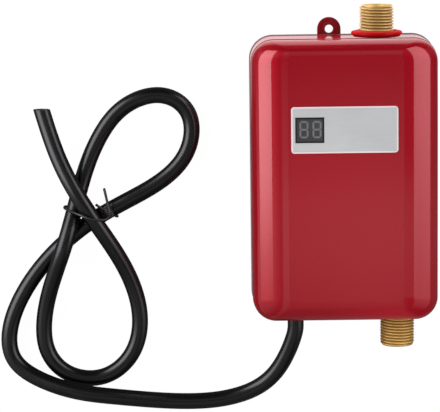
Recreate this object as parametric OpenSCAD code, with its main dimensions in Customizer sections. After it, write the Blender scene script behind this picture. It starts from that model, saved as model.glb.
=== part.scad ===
// Small electric water heater that heats water as it flows through it.
// It lies on its back: X runs across the front, Y from the cold inlet to the hot outlet,
// Z from the back plate to the front face. All sizes are in millimetres.

/* [Housing] */
// Width of the housing
body_w = 113; // [106:1:130]
// Length of the housing, from the inlet end to the outlet end
body_h = 172; // [164:1:210]
// Depth of the housing, from the back plate to the front face
body_d = 50; // [48:1:64]
// Corner radius of the housing seen from the front
corner_r = 14; // [11:1:17]
// Corner radius of the flat front face
face_r = 3; // [2:0.5:6]
// How far the side roundings run in from each side
side_round = 21; // [14:1:24]
// How far the front rounding runs in from the outlet end
top_round = 8; // [5:1:12]
// How far the front rounding runs in from the inlet end
bottom_round = 14; // [8:1:18]
// Depth of the front roundings
round_depth = 16; // [12:1:18]
// Wall thickness of the front cover
wall = 2.5; // [2:0.1:3]
// Thickness of the back plate and of its hanging tab
back_t = 3; // [2.4:0.1:3.6]
// Thickness of the seal between the covers
seal_t = 0.8; // [0.5:0.1:1.2]
// Width of the seal between the covers
seal_w = 1.7; // [1.2:0.1:1.9]
// How far the seal swells out past the covers
seal_out = 0.5; // [0:0.1:0.8]
// Radius of the screw bosses of the front cover
boss_r = 3.5; // [3:0.1:4]
// Distance of the screw bosses from the sides
boss_side = 5.5; // [5.3:0.1:6.5]
// Distance of the screw bosses from the ends
boss_end = 18; // [17:1:24]

/* [Hanging tab] */
// Distance of the hanging tab from the left side
tab_side = 48.7; // [36:0.1:52]
// Radius of the round end of the tab
tab_r = 7.2; // [5:0.1:9]
// Height of the tab's hole above the end of the housing
tab_rise = 3.6; // [3:0.1:8]
// Radius of the tab's hole
tab_hole_r = 2.5; // [2:0.1:4]

/* [Label and display] */
// Width of the front label
label_w = 64; // [50:1:70]
// Height of the front label
label_h = 28; // [20:1:34]
// Sideways place of the label's centre
label_x = -0.8; // [-4:0.1:4]
// Place of the label's centre along the housing
label_y = 33; // [20:1:40]
// Thickness of the label
label_t = 0.6; // [0.4:0.1:1]
// Depth of the label's recess in the face
label_sink = 0.3; // [0.2:0.1:0.5]
// Corner radius of the label
label_r = 2; // [1:0.1:4]
// Width of the display window
window_w = 17; // [14:0.1:22]
// Height of the display window
window_h = 15; // [12:0.1:18]
// Distance of the window from the label's outer edge
window_edge = 2.6; // [2:0.1:6]
// Width of the two-digit display
display_w = 19; // [17:0.1:24]
// Height of the two-digit display
display_h = 16; // [15:0.1:20]
// Thickness of the display above its board
display_t = 7.2; // [6:0.1:8]
// Width of the control board
board_w = 72; // [66:1:80]
// Height of the control board
board_h = 42; // [38:1:46]
// Thickness of the control board
board_t = 1.6; // [1:0.1:2]
// Distance of the board's screws from its edges
board_edge = 4; // [3.5:0.1:5]
// Radius of the posts that carry the board
post_r = 3; // [2.4:0.1:3.5]

/* [Water fittings] */
// Outer radius of the half inch pipe thread
thread_r = 10.48; // [9.5:0.01:10.8]
// Radius of the water way in the fittings
fit_bore_r = 7; // [5:0.1:7.5]
// How far the fittings stand out of the housing
fit_reach = 19; // [14:0.5:24]
// Height of the fittings above the back
fit_z = 17; // [15.5:0.1:17.5]
// Distance of the hot outlet from the right side
outlet_side = 36; // [34:0.1:40]
// Distance of the cold inlet from the right side
inlet_side = 23.8; // [23:0.1:26]
// How far the inner flange stands out past the thread
flange_step = 1.5; // [1:0.1:2]
// Thickness of the inner flange
flange_t = 3; // [2:0.1:4]
// Thickness of the flat seats inside the walls, round the fittings
seat_pad_t = 0.6; // [0.4:0.1:1]
// Thickness of the flat washer between flange and wall
washer_t = 1; // [0.6:0.1:1.6]
// Chamfer at the open end of the thread
thread_chamfer = 1.4; // [0.6:0.1:2]
// Depth of the relief next to the thread
thread_relief = 0.4; // [0.2:0.1:0.6]
// Radius of the fittings' inner stems
stem_r = 8.5; // [8:0.1:9]
// Length of the inlet's stem in the flow switch
inlet_stem = 7; // [5:0.5:9]
// Free length of the outlet's stem above the tank
outlet_stem = 13; // [11:0.5:16]
// Radius of the ring round the outlet
ring_r = 15.6; // [13:0.1:16.5]
// Thickness of the ring round the outlet
ring_t = 3.2; // [2.6:0.1:4]
// Thickness of the outlet ring at its round rim
ring_edge = 2.2; // [1:0.1:2.4]
// Distance of the inlet's filter from its open end
filter_depth = 7; // [4:0.5:9]
// Thickness of the inlet's filter
filter_t = 1.2; // [0.8:0.1:2]
// Radius of the filter's holes
filter_hole_r = 1.2; // [0.6:0.1:1.4]

/* [Flow switch] */
// Radius of the piston that the water lifts
piston_r = 6.7; // [6.4:0.1:7]
// Length of the piston
piston_len = 10; // [8:0.5:12]
// Travel of the piston
piston_travel = 5; // [3:0.5:6]
// Radius of the piston's magnet
magnet_r = 4.6; // [3.6:0.1:4.8]
// Length of the piston's magnet
magnet_len = 6; // [4:0.5:7]
// Radius of the water way through piston and magnet
piston_bore_r = 2.2; // [1.5:0.1:2.6]
// Length of the return spring
spring_len = 11; // [9:0.5:14]
// Turns of the return spring
spring_turns = 6; // [4:1:8]
// Radius of the spring's wire
spring_wire_r = 0.4; // [0.3:0.05:0.5]
// Wall of the flow switch body
switch_wall = 2; // [1.5:0.1:2.4]
// Thickness of the spring's seat
seat_t = 3; // [2:0.5:5]
// Radius of the water way into the tank
port_r = 4.5; // [3:0.1:5]
// Radius of the reed switch
reed_r = 1.3; // [1:0.1:1.6]
// Length of the reed switch
reed_len = 14; // [10:1:18]
// Width of the reed switch's holder
reed_holder_w = 7; // [6:0.5:9]

/* [Heating tank] */
// Outer radius of the tank
tank_r = 13; // [12.5:0.1:13.6]
// Wall of the tank
tank_wall = 0.8; // [0.6:0.1:1]
// Gap between the tank and the back plate
tank_lift = 2.5; // [2.2:0.1:3.5]
// Thickness of the end caps' floors
cap_t = 5; // [4:0.5:7]
// How far the end caps grip the tank
cap_grip = 4; // [3:0.5:6]
// How far the end caps stand out past the tank
cap_lip = 1.5; // [1:0.1:1.8]
// Height of the outlet cap's collar
collar_h = 3; // [2:0.5:5]
// Radius of the tubular element
element_r = 2.8; // [2.4:0.1:3]
// Sideways distance of the element's legs from the tank's axis
element_x = 7.4; // [7.2:0.1:7.6]
// Distance of the element's legs from the tank's axis, front to back
element_z = 4.5; // [4:0.1:4.7]
// Gap between the element's bends and the tank's ends
element_end = 6; // [4:1:10]
// Radius of the element's terminals
terminal_r = 1.6; // [1.2:0.1:2]
// Length of the element's terminals outside the cap
terminal_len = 9; // [7:0.5:10]
// Radius of the temperature probe
probe_r = 1.5; // [1.2:0.1:1.7]
// Length of the temperature probe inside the tank
probe_len = 12; // [8:1:20]
// Width of the straps that hold the tank
strap_w = 8; // [6:0.5:10]
// Thickness of the straps
strap_t = 1; // [0.8:0.1:1.5]
// Length of the straps' feet
strap_foot = 8; // [7:0.5:9]
// Height of the pads below the straps' feet
pad_h = 4; // [3:0.5:5]
// Width of the cooling saddle on the tank
saddle_w = 18; // [16:1:20]
// Length of the cooling saddle
saddle_len = 38; // [36:1:42]
// Thickness of the cooling saddle above the tank
saddle_t = 0.8; // [0.6:0.1:1]
// Radius of the thermal cut-out
cutout_r = 8; // [6:0.1:8.5]
// Thickness of the thermal cut-out
cutout_t = 4.2; // [3.6:0.1:4.4]
// Length of the power switch
triac_len = 16; // [12:0.5:18]
// Width of the power switch
triac_w = 15; // [12:0.5:16]
// Thickness of the power switch
triac_t = 4.2; // [3:0.1:4.4]

/* [Supply cord] */
// Radius of the cord
cord_r = 5; // [3.5:0.1:5.4]
// Distance of the cord from the left side, where it leaves the housing
cord_side = 26.5; // [24:0.5:32]
// Height of the cord above the back where it leaves
cord_z = 15; // [13:0.5:18]
// Wall of the cord's grommet
grommet_wall = 1.5; // [1:0.1:2]
// Radius of the grommet's lips past its neck
grommet_lip = 2; // [1:0.1:3]
// Thickness of the grommet's lips
grommet_lip_t = 2; // [1:0.1:2.4]
// Length of the cord inside the housing
tail_len = 22; // [20:1:26]
// Width of the cord clamp along the cord
clamp_w = 8; // [6:0.5:9]
// Width of the cord clamp across the cord
clamp_span = 26; // [25:1:30]
// Thickness of the cord clamp over the cord
clamp_t = 3; // [2:0.5:5]
// Radius of the cord's cores
core_r = 1.4; // [1:0.1:1.6]
// Distance between the terminals of the terminal block
terminal_pitch = 10; // [8:0.5:11]
// Length of the terminal block along the cord
block_len = 16; // [14:1:20]
// Height of the terminal block
block_h = 12; // [11:0.5:16]
// Distance between the cord's inner end and the terminal block
block_gap = 14; // [12:1:18]
// Thickness of the tie's wire round the folded cord
tie_r = 0.8; // [0.6:0.1:0.9]

/* [Fasteners and clearances] */
// Radius of the small screws
screw_r = 1.2; // [1:0.1:1.4]
// Radius of the small screws' heads
screw_head_r = 2.4; // [2:0.1:2.6]
// Height of the small screws' heads
screw_head_h = 1.6; // [1.2:0.1:2]
// Length of the screws that join the covers
case_screw_len = 14; // [10:1:18]
// Radial gap round a screw in its pilot hole
pilot_gap = 0.1; // [0.05:0.05:0.2]
// Gap between pieces that are fitted together
fit_gap = 0.2; // [0.1:0.05:0.3]
// Gap round the piston
slide_gap = 0.3; // [0.2:0.05:0.4]
// Radius of the leads inside the housing
lead_r = 1; // [0.6:0.1:1.1]

/* [Hidden] */
$fn = 64;

// Housing, from the back plate forward
cover_z = back_t + seal_t;
round_z = body_d - round_depth;
face_in_z = body_d - wall;
end_y = body_h / 2;
wall_in_y = end_y - wall;
side_x = body_w / 2;
tab_x = tab_side - side_x;
outlet_x = side_x - outlet_side;
inlet_x = side_x - inlet_side;
cord_x = cord_side - side_x;
// Angle at which the rounding meets the flat face, so that the face keeps a fine edge
loft_end = 78;
loft_steps = 8;
loft_fn = 32;
slice_t = 1;
boss_x = side_x - boss_side;
boss_y = end_y - boss_end;
boss_hole = case_screw_len + 4;
case_hole_gap = 0.5;
case_hole_r = screw_r + case_hole_gap;
sink_r = 3;

// Label, window, display and board, from the front face back
window_x = label_x - label_w / 2 + window_edge + window_w / 2;
board_z = face_in_z - slide_gap - display_t - board_t;
board_front_z = board_z + board_t;
post_x = board_w / 2 - board_edge;
post_y = board_h / 2 - board_edge;
board_screw_len = 6;
coil = [14, 12, 6];
can_r = 3.2;
can_h = 6.6;
plug = [8, 6, 5];
plug_x = 5;
plug_edge = 2;
plug_y = board_h / 2 - plug_edge;
plug_z = board_front_z + plug[2] / 2;

// Fittings along Y
flange_r = thread_r + flange_step;
neck_r = thread_r - thread_relief;
seat_pad_y = wall_in_y - seat_pad_t;
flange_y = seat_pad_y - washer_t;
stem_y = flange_y - flange_t;
fit_end_y = end_y + fit_reach;
thread_gap = 0.5;

// Flow switch along Y, counted from the inlet's flange
switch_y = -stem_y;
switch_bore_r = piston_r + slide_gap;
switch_r = stem_r + fit_gap + switch_wall;
piston_y = switch_y + inlet_stem + slide_gap;
spring_y = piston_y + piston_len;
seat_y = spring_y + spring_len;
switch_end_y = seat_y + seat_t;
spring_r = (magnet_r + fit_gap + piston_r) / 2;
spring_gap = 0.1;
reed_floor = 0.5;
reed_z = fit_z + switch_r + reed_floor + slide_gap + reed_r;
reed_y = piston_y + piston_travel + piston_len / 2;
reed_holder_end = 2;
reed_holder_len = reed_len + 2 * reed_holder_end;

// Tank along Y, between the flow switch and the outlet's stem
tank_x = (outlet_x + inlet_x) / 2;
tank_z = back_t + tank_lift + tank_r;
tank_y0 = switch_end_y + cap_t;
collar_y = stem_y - outlet_stem;
cap_y = collar_y - collar_h;
tank_y1 = cap_y - cap_t;
cap_r = tank_r + cap_lip;
collar_wall = 1.5;
collar_r = stem_r + fit_gap + collar_wall;
stem_socket = 5;
tank_bore_r = tank_r - tank_wall;
leg_y0 = tank_y0 + element_end + element_x + element_r;
leg_y1 = tank_y1 - element_end - element_z - element_r;
probe_shift = 1.5;
probe_rise = 9.5;
probe_x = tank_x + probe_shift;
probe_z = tank_z + probe_rise;
element_end_y = cap_y + 1;
probe_head_r = 2.4;
probe_head_h = 3;

// Straps, saddle and what they carry
strap_r = tank_r + slide_gap;
strap_leg = strap_r + strap_t;
strap_gap = 2;
board_gap = 3;
strap_low_y = tank_y0 + cap_grip + strap_gap + strap_w / 2;
strap_high_y = label_y + post_y - screw_head_r - board_gap - strap_w / 2;
strap_ys = [strap_low_y, strap_high_y];
strap_screw_x = strap_leg + strap_foot / 2;
strap_foot_z = back_t + pad_h;
strap_screw_len = 5;
cradle_t = 4;
saddle_y0 = strap_low_y + strap_w / 2 + strap_gap;
saddle_z = tank_z + tank_r + saddle_t;
saddle_drop = 5;
saddle_edge = 1;
triac_y = saddle_y0 + saddle_edge + triac_len / 2;
cutout_y = saddle_y0 + saddle_len - saddle_edge - cutout_r;
triac_leg = 5;
triac_leg_r = 0.6;
triac_pitch = 4;
blade_w = 4;
blade_t = 0.8;
blade_len = 5;

// Cord entry along Y
grommet_r = cord_r + fit_gap + grommet_wall;
lip_r = grommet_r + grommet_lip;
entry_y = -end_y - grommet_lip_t;
tail_y = -wall_in_y + tail_len;
clamp_gap = 2;
clamp_y = -wall_in_y + grommet_lip_t + clamp_gap + clamp_w / 2;
clamp_edge = 3.5;
clamp_screw_x = clamp_span / 2 - clamp_edge;
clamp_screw_len = 10;
clamp_play = 0.5;
clamp_z = cord_z + clamp_play;
clamp_top_z = cord_z + cord_r + clamp_t;
block_y0 = tail_y + block_gap;
block_y1 = block_y0 + block_len;
block_edge = 1;
block_w = 3 * terminal_pitch + 2 * block_edge;
wire_hole_rise = 5;
wire_hole_z = back_t + wire_hole_rise;
wire_hole_r = core_r + fit_gap;
wire_hole_depth = 5;
block_screw_r = 2.2;
core_ring = 2.4;
lead_in = 2;
lead_bend = 6;
lead_room = 3;

// Route of the free cord from the grommet to its bare end, laid on the surface below
cord_route = [
    [cord_x, entry_y, cord_z], [cord_x, entry_y - 4, cord_z], [cord_x, entry_y - 10, cord_z],
    [-39, -121, 11], [-54, -136, 6], [-80, -143, 5], [-111, -142, 7], [-142, -137, 14],
    [-165, -134, 16], [-188, -128, 10], [-209, -116, 5], [-209, -93, 5], [-199, -71, 5],
    [-185, -52, 5], [-168, -36, 5], [-150, -23, 8], [-130, -13, 7], [-109, -2, 5],
    [-93, 15, 5], [-91, 41, 5], [-111, 54, 5], [-136, 45, 5], [-150, 26, 5],
    [-159, 5, 5], [-165, -17, 8], [-171, -39, 22], [-179, -60, 13], [-186, -82, 6],
    [-188, -108, 5], [-174, -126, 5], [-149, -129, 5], [-130, -113, 5], [-125, -90, 5],
    [-130, -67, 6], [-140, -46, 13], [-152, -27, 19], [-164, -8, 20], [-175, 12, 13],
    [-183, 36, 6], [-185, 43, 5]
];
// Route of the wire tie: one end, the loop round the three strands, the other end
tie_route = [
    [-147, -6, 13], [-145, -14, 17], [-146, -22, 20], [-148, -26, 24], [-155, -24, 26],
    [-162, -21, 23], [-169, -19, 17], [-173, -18, 12], [-172, -18, 6], [-166, -20, 3],
    [-157, -23, 1], [-148, -27, 1], [-142, -28, 3], [-140, -27, 8], [-142, -25, 14],
    [-144, -22, 17], [-148, -18, 18], [-152, -15, 19]
];

// Smooth route through chosen points, with straight end stretches and a number of steps between other points
function unit(v) = v / norm(v);
function curve_point(a, b, c, d, t) =
    0.5 * (2 * b + (c - a) * t + (2 * a - 5 * b + 4 * c - d) * t * t
    + (3 * b - a - 3 * c + d) * t * t * t);
function curve_span(p, i, t, last) =
    curve_point(p[max(i - 1, 0)], p[i], p[i + 1], p[min(i + 2, last)], t);
function smooth(p, steps) =
    let (n = len(p) - 1)
    concat(
        [p[0]],
        [for (i = [1:n - 2], k = [0:steps - 1]) curve_span(p, i, k / steps, n)],
        [p[n - 1], p[n]]
    );
// Softer route drawn toward chosen points, whose bends run evenly into each other
function flow_point(a, b, c, d, t) =
    let (s = 1 - t)
    (s * s * s * a + (3 * t * t * t - 6 * t * t + 4) * b + (3 * s * s * s - 6 * s * s + 4) * c + t * t * t * d) / 6;
function flow_span(p, i, t) = flow_point(p[i - 1], p[i], p[i + 1], p[i + 2], t);
function flow(p, steps) =
    let (n = len(p) - 1)
    concat(
        [p[0]],
        [for (i = [1:n - 2], k = [0:steps - 1]) flow_span(p, i, k / steps)],
        [flow_span(p, n - 2, 1), p[n]]
    );
// Route kept above the surface that it lies on
function laid(q, low) = [for (v = q) [v[0], v[1], max(v[2], low)]];
// Directions along a route, and side directions that turn with it as little as they can
function ways(q) = [for (i = [0:len(q) - 1]) unit(q[min(i + 1, len(q) - 1)] - q[max(i - 1, 0)])];
function first_side(w) = unit(cross(w, abs(w[2]) < 0.9 ? [0, 0, 1] : [1, 0, 0]));
function sides(w) = [
    for (i = 0, s = first_side(w[0]); i < len(w);
        i = i + 1, s = i < len(w) ? unit(s - w[i] * (s * w[i])) : s) s
];
function ring_points(q, r, n) =
    let (w = ways(q), s = sides(w))
    [for (i = [0:len(q) - 1], j = [0:n - 1])
        q[i] + r * (cos(360 * j / n) * s[i] + sin(360 * j / n) * cross(w[i], s[i]))];
function tube_faces(rings, n) = concat(
    [for (j = [1:n - 2]) [0, j, j + 1]],
    [for (i = [0:rings - 2], j = [0:n - 1]) [i * n + j, (i + 1) * n + j, (i + 1) * n + (j + 1) % n]],
    [for (i = [0:rings - 2], j = [0:n - 1]) [i * n + j, (i + 1) * n + (j + 1) % n, i * n + (j + 1) % n]],
    [for (j = [1:n - 2]) [(rings - 1) * n, (rings - 1) * n + j + 1, (rings - 1) * n + j]]
);
function route_length(q) = [for (i = [1:len(q) - 1]) norm(q[i] - q[i - 1])] * [for (i = [1:len(q) - 1]) 1];
function least_gap(q, apart, d) =
    min([for (i = [0:len(q) - 1 - apart]) for (j = [i + apart:len(q) - 1]) norm(q[i] - q[j])]) - d;
function helix(x, y0, y1, z, r, turns, steps) = [
    for (k = [0:turns * steps])
        [x + r * cos(360 * k / steps), y0 + (y1 - y0) * k / (turns * steps), z + r * sin(360 * k / steps)]
];

// Round tube swept along a route
module tube(q, r, n = 8) {
    polyhedron(points = ring_points(q, r, n), faces = tube_faces(len(q), n), convexity = 10);
}

// Lead swept through chosen points
module lead(p, r) {
    tube(smooth(p, 4), r, 8);
}

// Round bar along Y
module rod_y(r, y0, y1, x, z) {
    translate([x, y0, z])
        rotate([-90, 0, 0])
            cylinder(r = r, h = y1 - y0);
}

// Revolved profile along Y, drawn as radius across and distance along
module turned_y(points, x, z, y0, way = 1) {
    translate([x, y0, z])
        rotate([-90 * way, 0, 0])
            rotate_extrude()
                polygon(points);
}

// Flat outline with round corners
module round_rect(w, h, r) {
    square([w - 2 * r, h], center = true);
    square([w, h - 2 * r], center = true);
    for (x = [-1, 1], y = [-1, 1])
        translate([x * (w / 2 - r), y * (h / 2 - r)])
            circle(r);
}

// Pan head screw along Z, with its head's underside at z = 0
module screw(length) {
    cylinder(r = screw_r, h = length);
    translate([0, 0, -screw_head_h])
        cylinder(r = screw_head_r, h = screw_head_h);
}

// Places of the four screws that join the covers
module at_bosses() {
    for (x = [-1, 1], y = [-1, 1])
        translate([x * boss_x, y * boss_y, 0])
            children();
}

// Places of the four screws that hold the control board
module at_posts() {
    for (x = [-1, 1], y = [-1, 1])
        translate([label_x + x * post_x, label_y + y * post_y, 0])
            children();
}

// Places of the four screws that hold the straps
module at_strap_screws() {
    for (x = [-1, 1], y = strap_ys)
        translate([tank_x + x * strap_screw_x, y, 0])
            children();
}

// Outer form of the front cover, drawn in by an inset, as a loft from its rim to its flat face
module cover_form(inset, base_z) {
    hull() {
        cover_slice(inset, 0, round_z, round_z - base_z);
        for (k = [1:loft_steps])
            let (a = loft_end * k / loft_steps)
                cover_slice(
                    inset,
                    (1 - cos(a)) / (1 - cos(loft_end)),
                    round_z + (round_depth - inset) * sin(a) / sin(loft_end),
                    slice_t
                );
    }
}

// One slice of the loft, below z: share runs from 0 at the rim to 1 at the flat face
module cover_slice(inset, share, z, t) {
    rim_r = corner_r - inset;
    flat_r = max(face_r - inset, 1);
    r = rim_r + (flat_r - rim_r) * share;
    x = side_x - inset - (side_round - inset) * share - r;
    high = end_y - inset - (top_round - inset) * share - r;
    low = end_y - inset - (bottom_round - inset) * share - r;
    for (sx = [-1, 1]) {
        translate([sx * x, high, z - t])
            cylinder(r = r, h = t, $fn = loft_fn);
        translate([sx * x, -low, z - t])
            cylinder(r = r, h = t, $fn = loft_fn);
    }
}

// Moulded front cover: lofted shell with bosses, board posts and all its openings
module front_cover() {
    color("firebrick")
        difference() {
            union() {
                difference() {
                    cover_form(0, cover_z);
                    cover_form(wall, back_t - 1);
                }
                intersection() {
                    cover_form(0, back_t);
                    union() {
                        translate([0, 0, back_t])
                            at_bosses()
                                cylinder(r = boss_r, h = body_d);
                        translate([0, 0, board_front_z])
                            at_posts()
                                cylinder(r = post_r, h = face_in_z - board_front_z + wall / 2);
                        rod_y(flange_r + 1, seat_pad_y, end_y - wall / 2, outlet_x, fit_z);
                        rod_y(flange_r + 1, wall / 2 - end_y, -seat_pad_y, inlet_x, fit_z);
                    }
                }
            }
            at_bosses()
                translate([0, 0, back_t - 1])
                    cylinder(r = screw_r + pilot_gap, h = boss_hole);
            at_posts()
                translate([0, 0, board_front_z - 1])
                    cylinder(r = screw_r + pilot_gap, h = board_screw_len);
            rod_y(thread_r + slide_gap, flange_y, end_y + 1, outlet_x, fit_z);
            rod_y(thread_r + slide_gap, -end_y - 1, -flange_y, inlet_x, fit_z);
            rod_y(grommet_r + fit_gap, -end_y - 1, -flange_y, cord_x, cord_z);
            translate([label_x, label_y, body_d - label_sink])
                linear_extrude(label_sink + 1)
                    round_rect(label_w + 2 * fit_gap, label_h + 2 * fit_gap, label_r + fit_gap);
            translate([window_x - window_w / 2 - fit_gap, label_y - window_h / 2 - fit_gap, face_in_z - 1])
                cube([window_w + 2 * fit_gap, window_h + 2 * fit_gap, wall + 2]);
        }
}

// Back plate with the hanging tab, the tank's cradles, the strap pads and the cord's seat
module rear_cover() {
    color("darkred")
        difference() {
            union() {
                linear_extrude(back_t)
                    round_rect(body_w, body_h, corner_r);
                hanging_tab();
                for (y = strap_ys)
                    translate([tank_x - tank_r + 2, y - cradle_t / 2, back_t])
                        cube([2 * tank_r - 4, cradle_t, tank_lift + tank_r / 3]);
                translate([0, 0, back_t])
                    at_strap_screws()
                        cylinder(r = strap_foot / 2, h = pad_h);
                translate([cord_x - clamp_span / 2, clamp_y - clamp_w / 2, back_t])
                    cube([clamp_span, clamp_w, cord_z - back_t]);
            }
            translate([tab_x, end_y + tab_rise, -1])
                cylinder(r = tab_hole_r, h = back_t + 2);
            rod_y(strap_r, tank_y0, tank_y1, tank_x, tank_z);
            at_strap_screws()
                translate([0, 0, strap_foot_z - strap_screw_len - 0.5])
                    cylinder(r = screw_r + pilot_gap, h = strap_screw_len + 1);
            rod_y(cord_r + fit_gap, clamp_y - clamp_w, clamp_y + clamp_w, cord_x, cord_z);
            for (x = [-1, 1])
                translate([cord_x + x * clamp_screw_x, clamp_y, back_t + 1])
                    cylinder(r = screw_r + pilot_gap, h = cord_z);
            at_bosses() {
                translate([0, 0, -1])
                    cylinder(r = case_hole_r, h = back_t + 2);
                cylinder(r1 = sink_r + fit_gap, r2 = case_hole_r, h = sink_r + fit_gap - case_hole_r);
            }
        }
}

// Ear of the back plate that stands out past the outlet end
module hanging_tab() {
    translate([tab_x, end_y + tab_rise, 0])
        cylinder(r = tab_r, h = back_t);
    translate([tab_x - tab_r, end_y - corner_r, 0])
        cube([2 * tab_r, corner_r + tab_rise, back_t]);
}

// Flat seal between the back plate and the rim of the front cover
module casing_seal() {
    color("gray")
        difference() {
            translate([0, 0, back_t])
                linear_extrude(seal_t)
                    difference() {
                        round_rect(body_w + 2 * seal_out, body_h + 2 * seal_out, corner_r + seal_out);
                        round_rect(body_w - 2 * seal_w, body_h - 2 * seal_w, corner_r - seal_w);
                    }
            rod_y(ring_r + slide_gap, end_y, end_y + seal_out + 1, outlet_x, fit_z);
        }
}

// Countersunk screws that join the covers, driven in from the back
module casing_screws() {
    color("dimgray")
        translate([0, 0, fit_gap])
            at_bosses() {
                cylinder(r1 = sink_r, r2 = screw_r, h = sink_r - screw_r);
                cylinder(r = screw_r, h = case_screw_len);
            }
}

// Plain label plate with a cut-out for the window
module display_label() {
    color("silver")
        translate([0, 0, body_d - label_sink])
            linear_extrude(label_t)
                difference() {
                    translate([label_x, label_y])
                        round_rect(label_w, label_h, label_r);
                    translate([window_x, label_y])
                        square([window_w + 2 * fit_gap, window_h + 2 * fit_gap], center = true);
                }
}

// Dark pane in front of the display, flush with the label
module display_window() {
    color("dimgray")
        translate([window_x - window_w / 2, label_y - window_h / 2, face_in_z])
            cube([window_w, window_h, wall - label_sink + label_t]);
}

// Two-digit display on the control board
module display_module() {
    color("black")
        translate([window_x - display_w / 2, label_y - display_h / 2, board_front_z])
            cube([display_w, display_h, display_t]);
}

// Control board, screwed to the posts behind the label
module control_board() {
    color("darkgreen")
        difference() {
            translate([label_x - board_w / 2, label_y - board_h / 2, board_z])
                cube([board_w, board_h, board_t]);
            at_posts()
                translate([0, 0, board_z - 1])
                    cylinder(r = screw_r + fit_gap, h = board_t + 2);
        }
}

// Small parts on the board's front: a coil block, a buffer capacitor and the sensors' two plugs
module board_parts() {
    color("darkslategray")
        translate([label_x, label_y, board_front_z]) {
            translate([0, -coil[1] / 2, 0])
                cube(coil);
            translate([coil[0] + 2 * can_r, 0, 0])
                cylinder(r = can_r, h = can_h);
            for (y = [-1, 1])
                translate([plug_x - plug[0] / 2, y * (plug_y - plug[1] / 2) - plug[1] / 2, 0])
                    cube(plug);
        }
}

// Screws that hold the board to its posts, driven in from behind
module board_screws() {
    color("silver")
        at_posts()
            translate([0, 0, board_z])
                screw(board_t + board_screw_len - 2);
}

// Turned brass fitting along Y from its stem to its open end, drawn from the flange's inner face
module fitting_profile(x, way, stem, thread_start) {
    wall_out = end_y - stem_y;
    end = fit_end_y - stem_y;
    turned_y(
        [
            [fit_bore_r, -stem], [stem_r, -stem], [stem_r, 0], [flange_r, 0],
            [flange_r, flange_t], [neck_r, flange_t], [neck_r, wall_out + thread_start],
            [thread_r, wall_out + thread_start], [thread_r, end - thread_chamfer],
            [thread_r - thread_chamfer, end], [fit_bore_r, end]
        ],
        x, fit_z, way * stem_y, way
    );
}

// Hot water outlet
module outlet_fitting() {
    color("goldenrod")
        fitting_profile(outlet_x, 1, outlet_stem + stem_socket, ring_t + thread_gap);
}

// Cold water inlet
module inlet_fitting() {
    color("goldenrod")
        fitting_profile(inlet_x, -1, inlet_stem, thread_gap);
}

// Red ring that marks the hot outlet, seated on the housing
module outlet_ring() {
    edge_r = ring_edge / 2;
    edge_x = ring_r - edge_r;
    hole_r = thread_r + fit_gap;
    run = edge_x - hole_r;
    rise = ring_t - edge_r;
    lean = atan2(rise, run) - asin(edge_r / norm([run, rise]));
    color("orangered")
        translate([outlet_x, end_y, fit_z])
            rotate([-90, 0, 0])
                rotate_extrude() {
                    polygon([
                        [hole_r, 0], [edge_x, 0], [edge_x, edge_r],
                        [edge_x + edge_r * sin(lean), edge_r + edge_r * cos(lean)], [hole_r, ring_t]
                    ]);
                    intersection() {
                        translate([edge_x, edge_r])
                            circle(r = edge_r);
                        translate([edge_x, 0])
                            square([ring_edge, ring_edge]);
                    }
                }
}

// Flat washers between the fittings' flanges and the walls
module fitting_washers() {
    color("black") {
        washer(outlet_x, flange_y);
        washer(inlet_x, -seat_pad_y);
    }
}

module washer(x, y) {
    difference() {
        rod_y(flange_r, y, y + washer_t, x, fit_z);
        rod_y(neck_r + fit_gap, y - 1, y + washer_t + 1, x, fit_z);
    }
}

// Perforated disc that keeps grit out of the inlet
module inlet_filter() {
    y = -fit_end_y + filter_depth;
    color("lightgray")
        difference() {
            rod_y(fit_bore_r - fit_gap, y, y + filter_t, inlet_x, fit_z);
            rod_y(filter_hole_r, y - 1, y + filter_t + 1, inlet_x, fit_z);
            for (a = [0:60:300])
                rod_y(
                    filter_hole_r, y - 1, y + filter_t + 1,
                    inlet_x + fit_bore_r * 0.58 * cos(a), fit_z + fit_bore_r * 0.58 * sin(a)
                );
        }
}

// Body of the flow switch: socket for the inlet, bore for the piston, seat for the spring
module flow_housing() {
    color("ivory")
        difference() {
            union() {
                rod_y(switch_r, switch_y, switch_end_y, inlet_x, fit_z);
                translate([inlet_x - reed_holder_w / 2, reed_y - reed_holder_len / 2, fit_z])
                    cube([reed_holder_w, reed_holder_len, reed_z - fit_z]);
            }
            rod_y(stem_r + fit_gap, switch_y - 1, switch_y + inlet_stem, inlet_x, fit_z);
            rod_y(switch_bore_r, switch_y, seat_y, inlet_x, fit_z);
            rod_y(port_r, switch_y, switch_end_y + 1, inlet_x, fit_z);
            rod_y(reed_r + slide_gap, reed_y - reed_len, reed_y + reed_len, inlet_x, reed_z);
        }
}

// Piston that the flowing water lifts towards the tank
module flow_piston() {
    color("white")
        difference() {
            rod_y(piston_r, piston_y, piston_y + piston_len, inlet_x, fit_z);
            rod_y(piston_bore_r, piston_y - 1, piston_y + piston_len + 1, inlet_x, fit_z);
            rod_y(
                magnet_r + fit_gap, piston_y + piston_len - magnet_len - fit_gap,
                piston_y + piston_len + 1, inlet_x, fit_z
            );
        }
}

// Ring magnet carried in the piston
module piston_magnet() {
    y = piston_y + piston_len - magnet_len - fit_gap;
    color("dimgray")
        difference() {
            rod_y(magnet_r, y, y + magnet_len, inlet_x, fit_z);
            rod_y(piston_bore_r, y - 1, y + magnet_len + 1, inlet_x, fit_z);
        }
}

// Coil spring that brings the piston back
module piston_spring() {
    low = spring_y + spring_wire_r + spring_gap;
    high = seat_y - spring_wire_r - spring_gap;
    color("silver")
        tube(helix(inlet_x, low, high, fit_z, spring_r, spring_turns, 8), spring_wire_r, 6);
}

// Glass reed switch that the magnet closes
module reed_switch() {
    color("lightcyan")
        rod_y(reed_r, reed_y - reed_len / 2, reed_y + reed_len / 2, inlet_x, reed_z);
}

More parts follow.
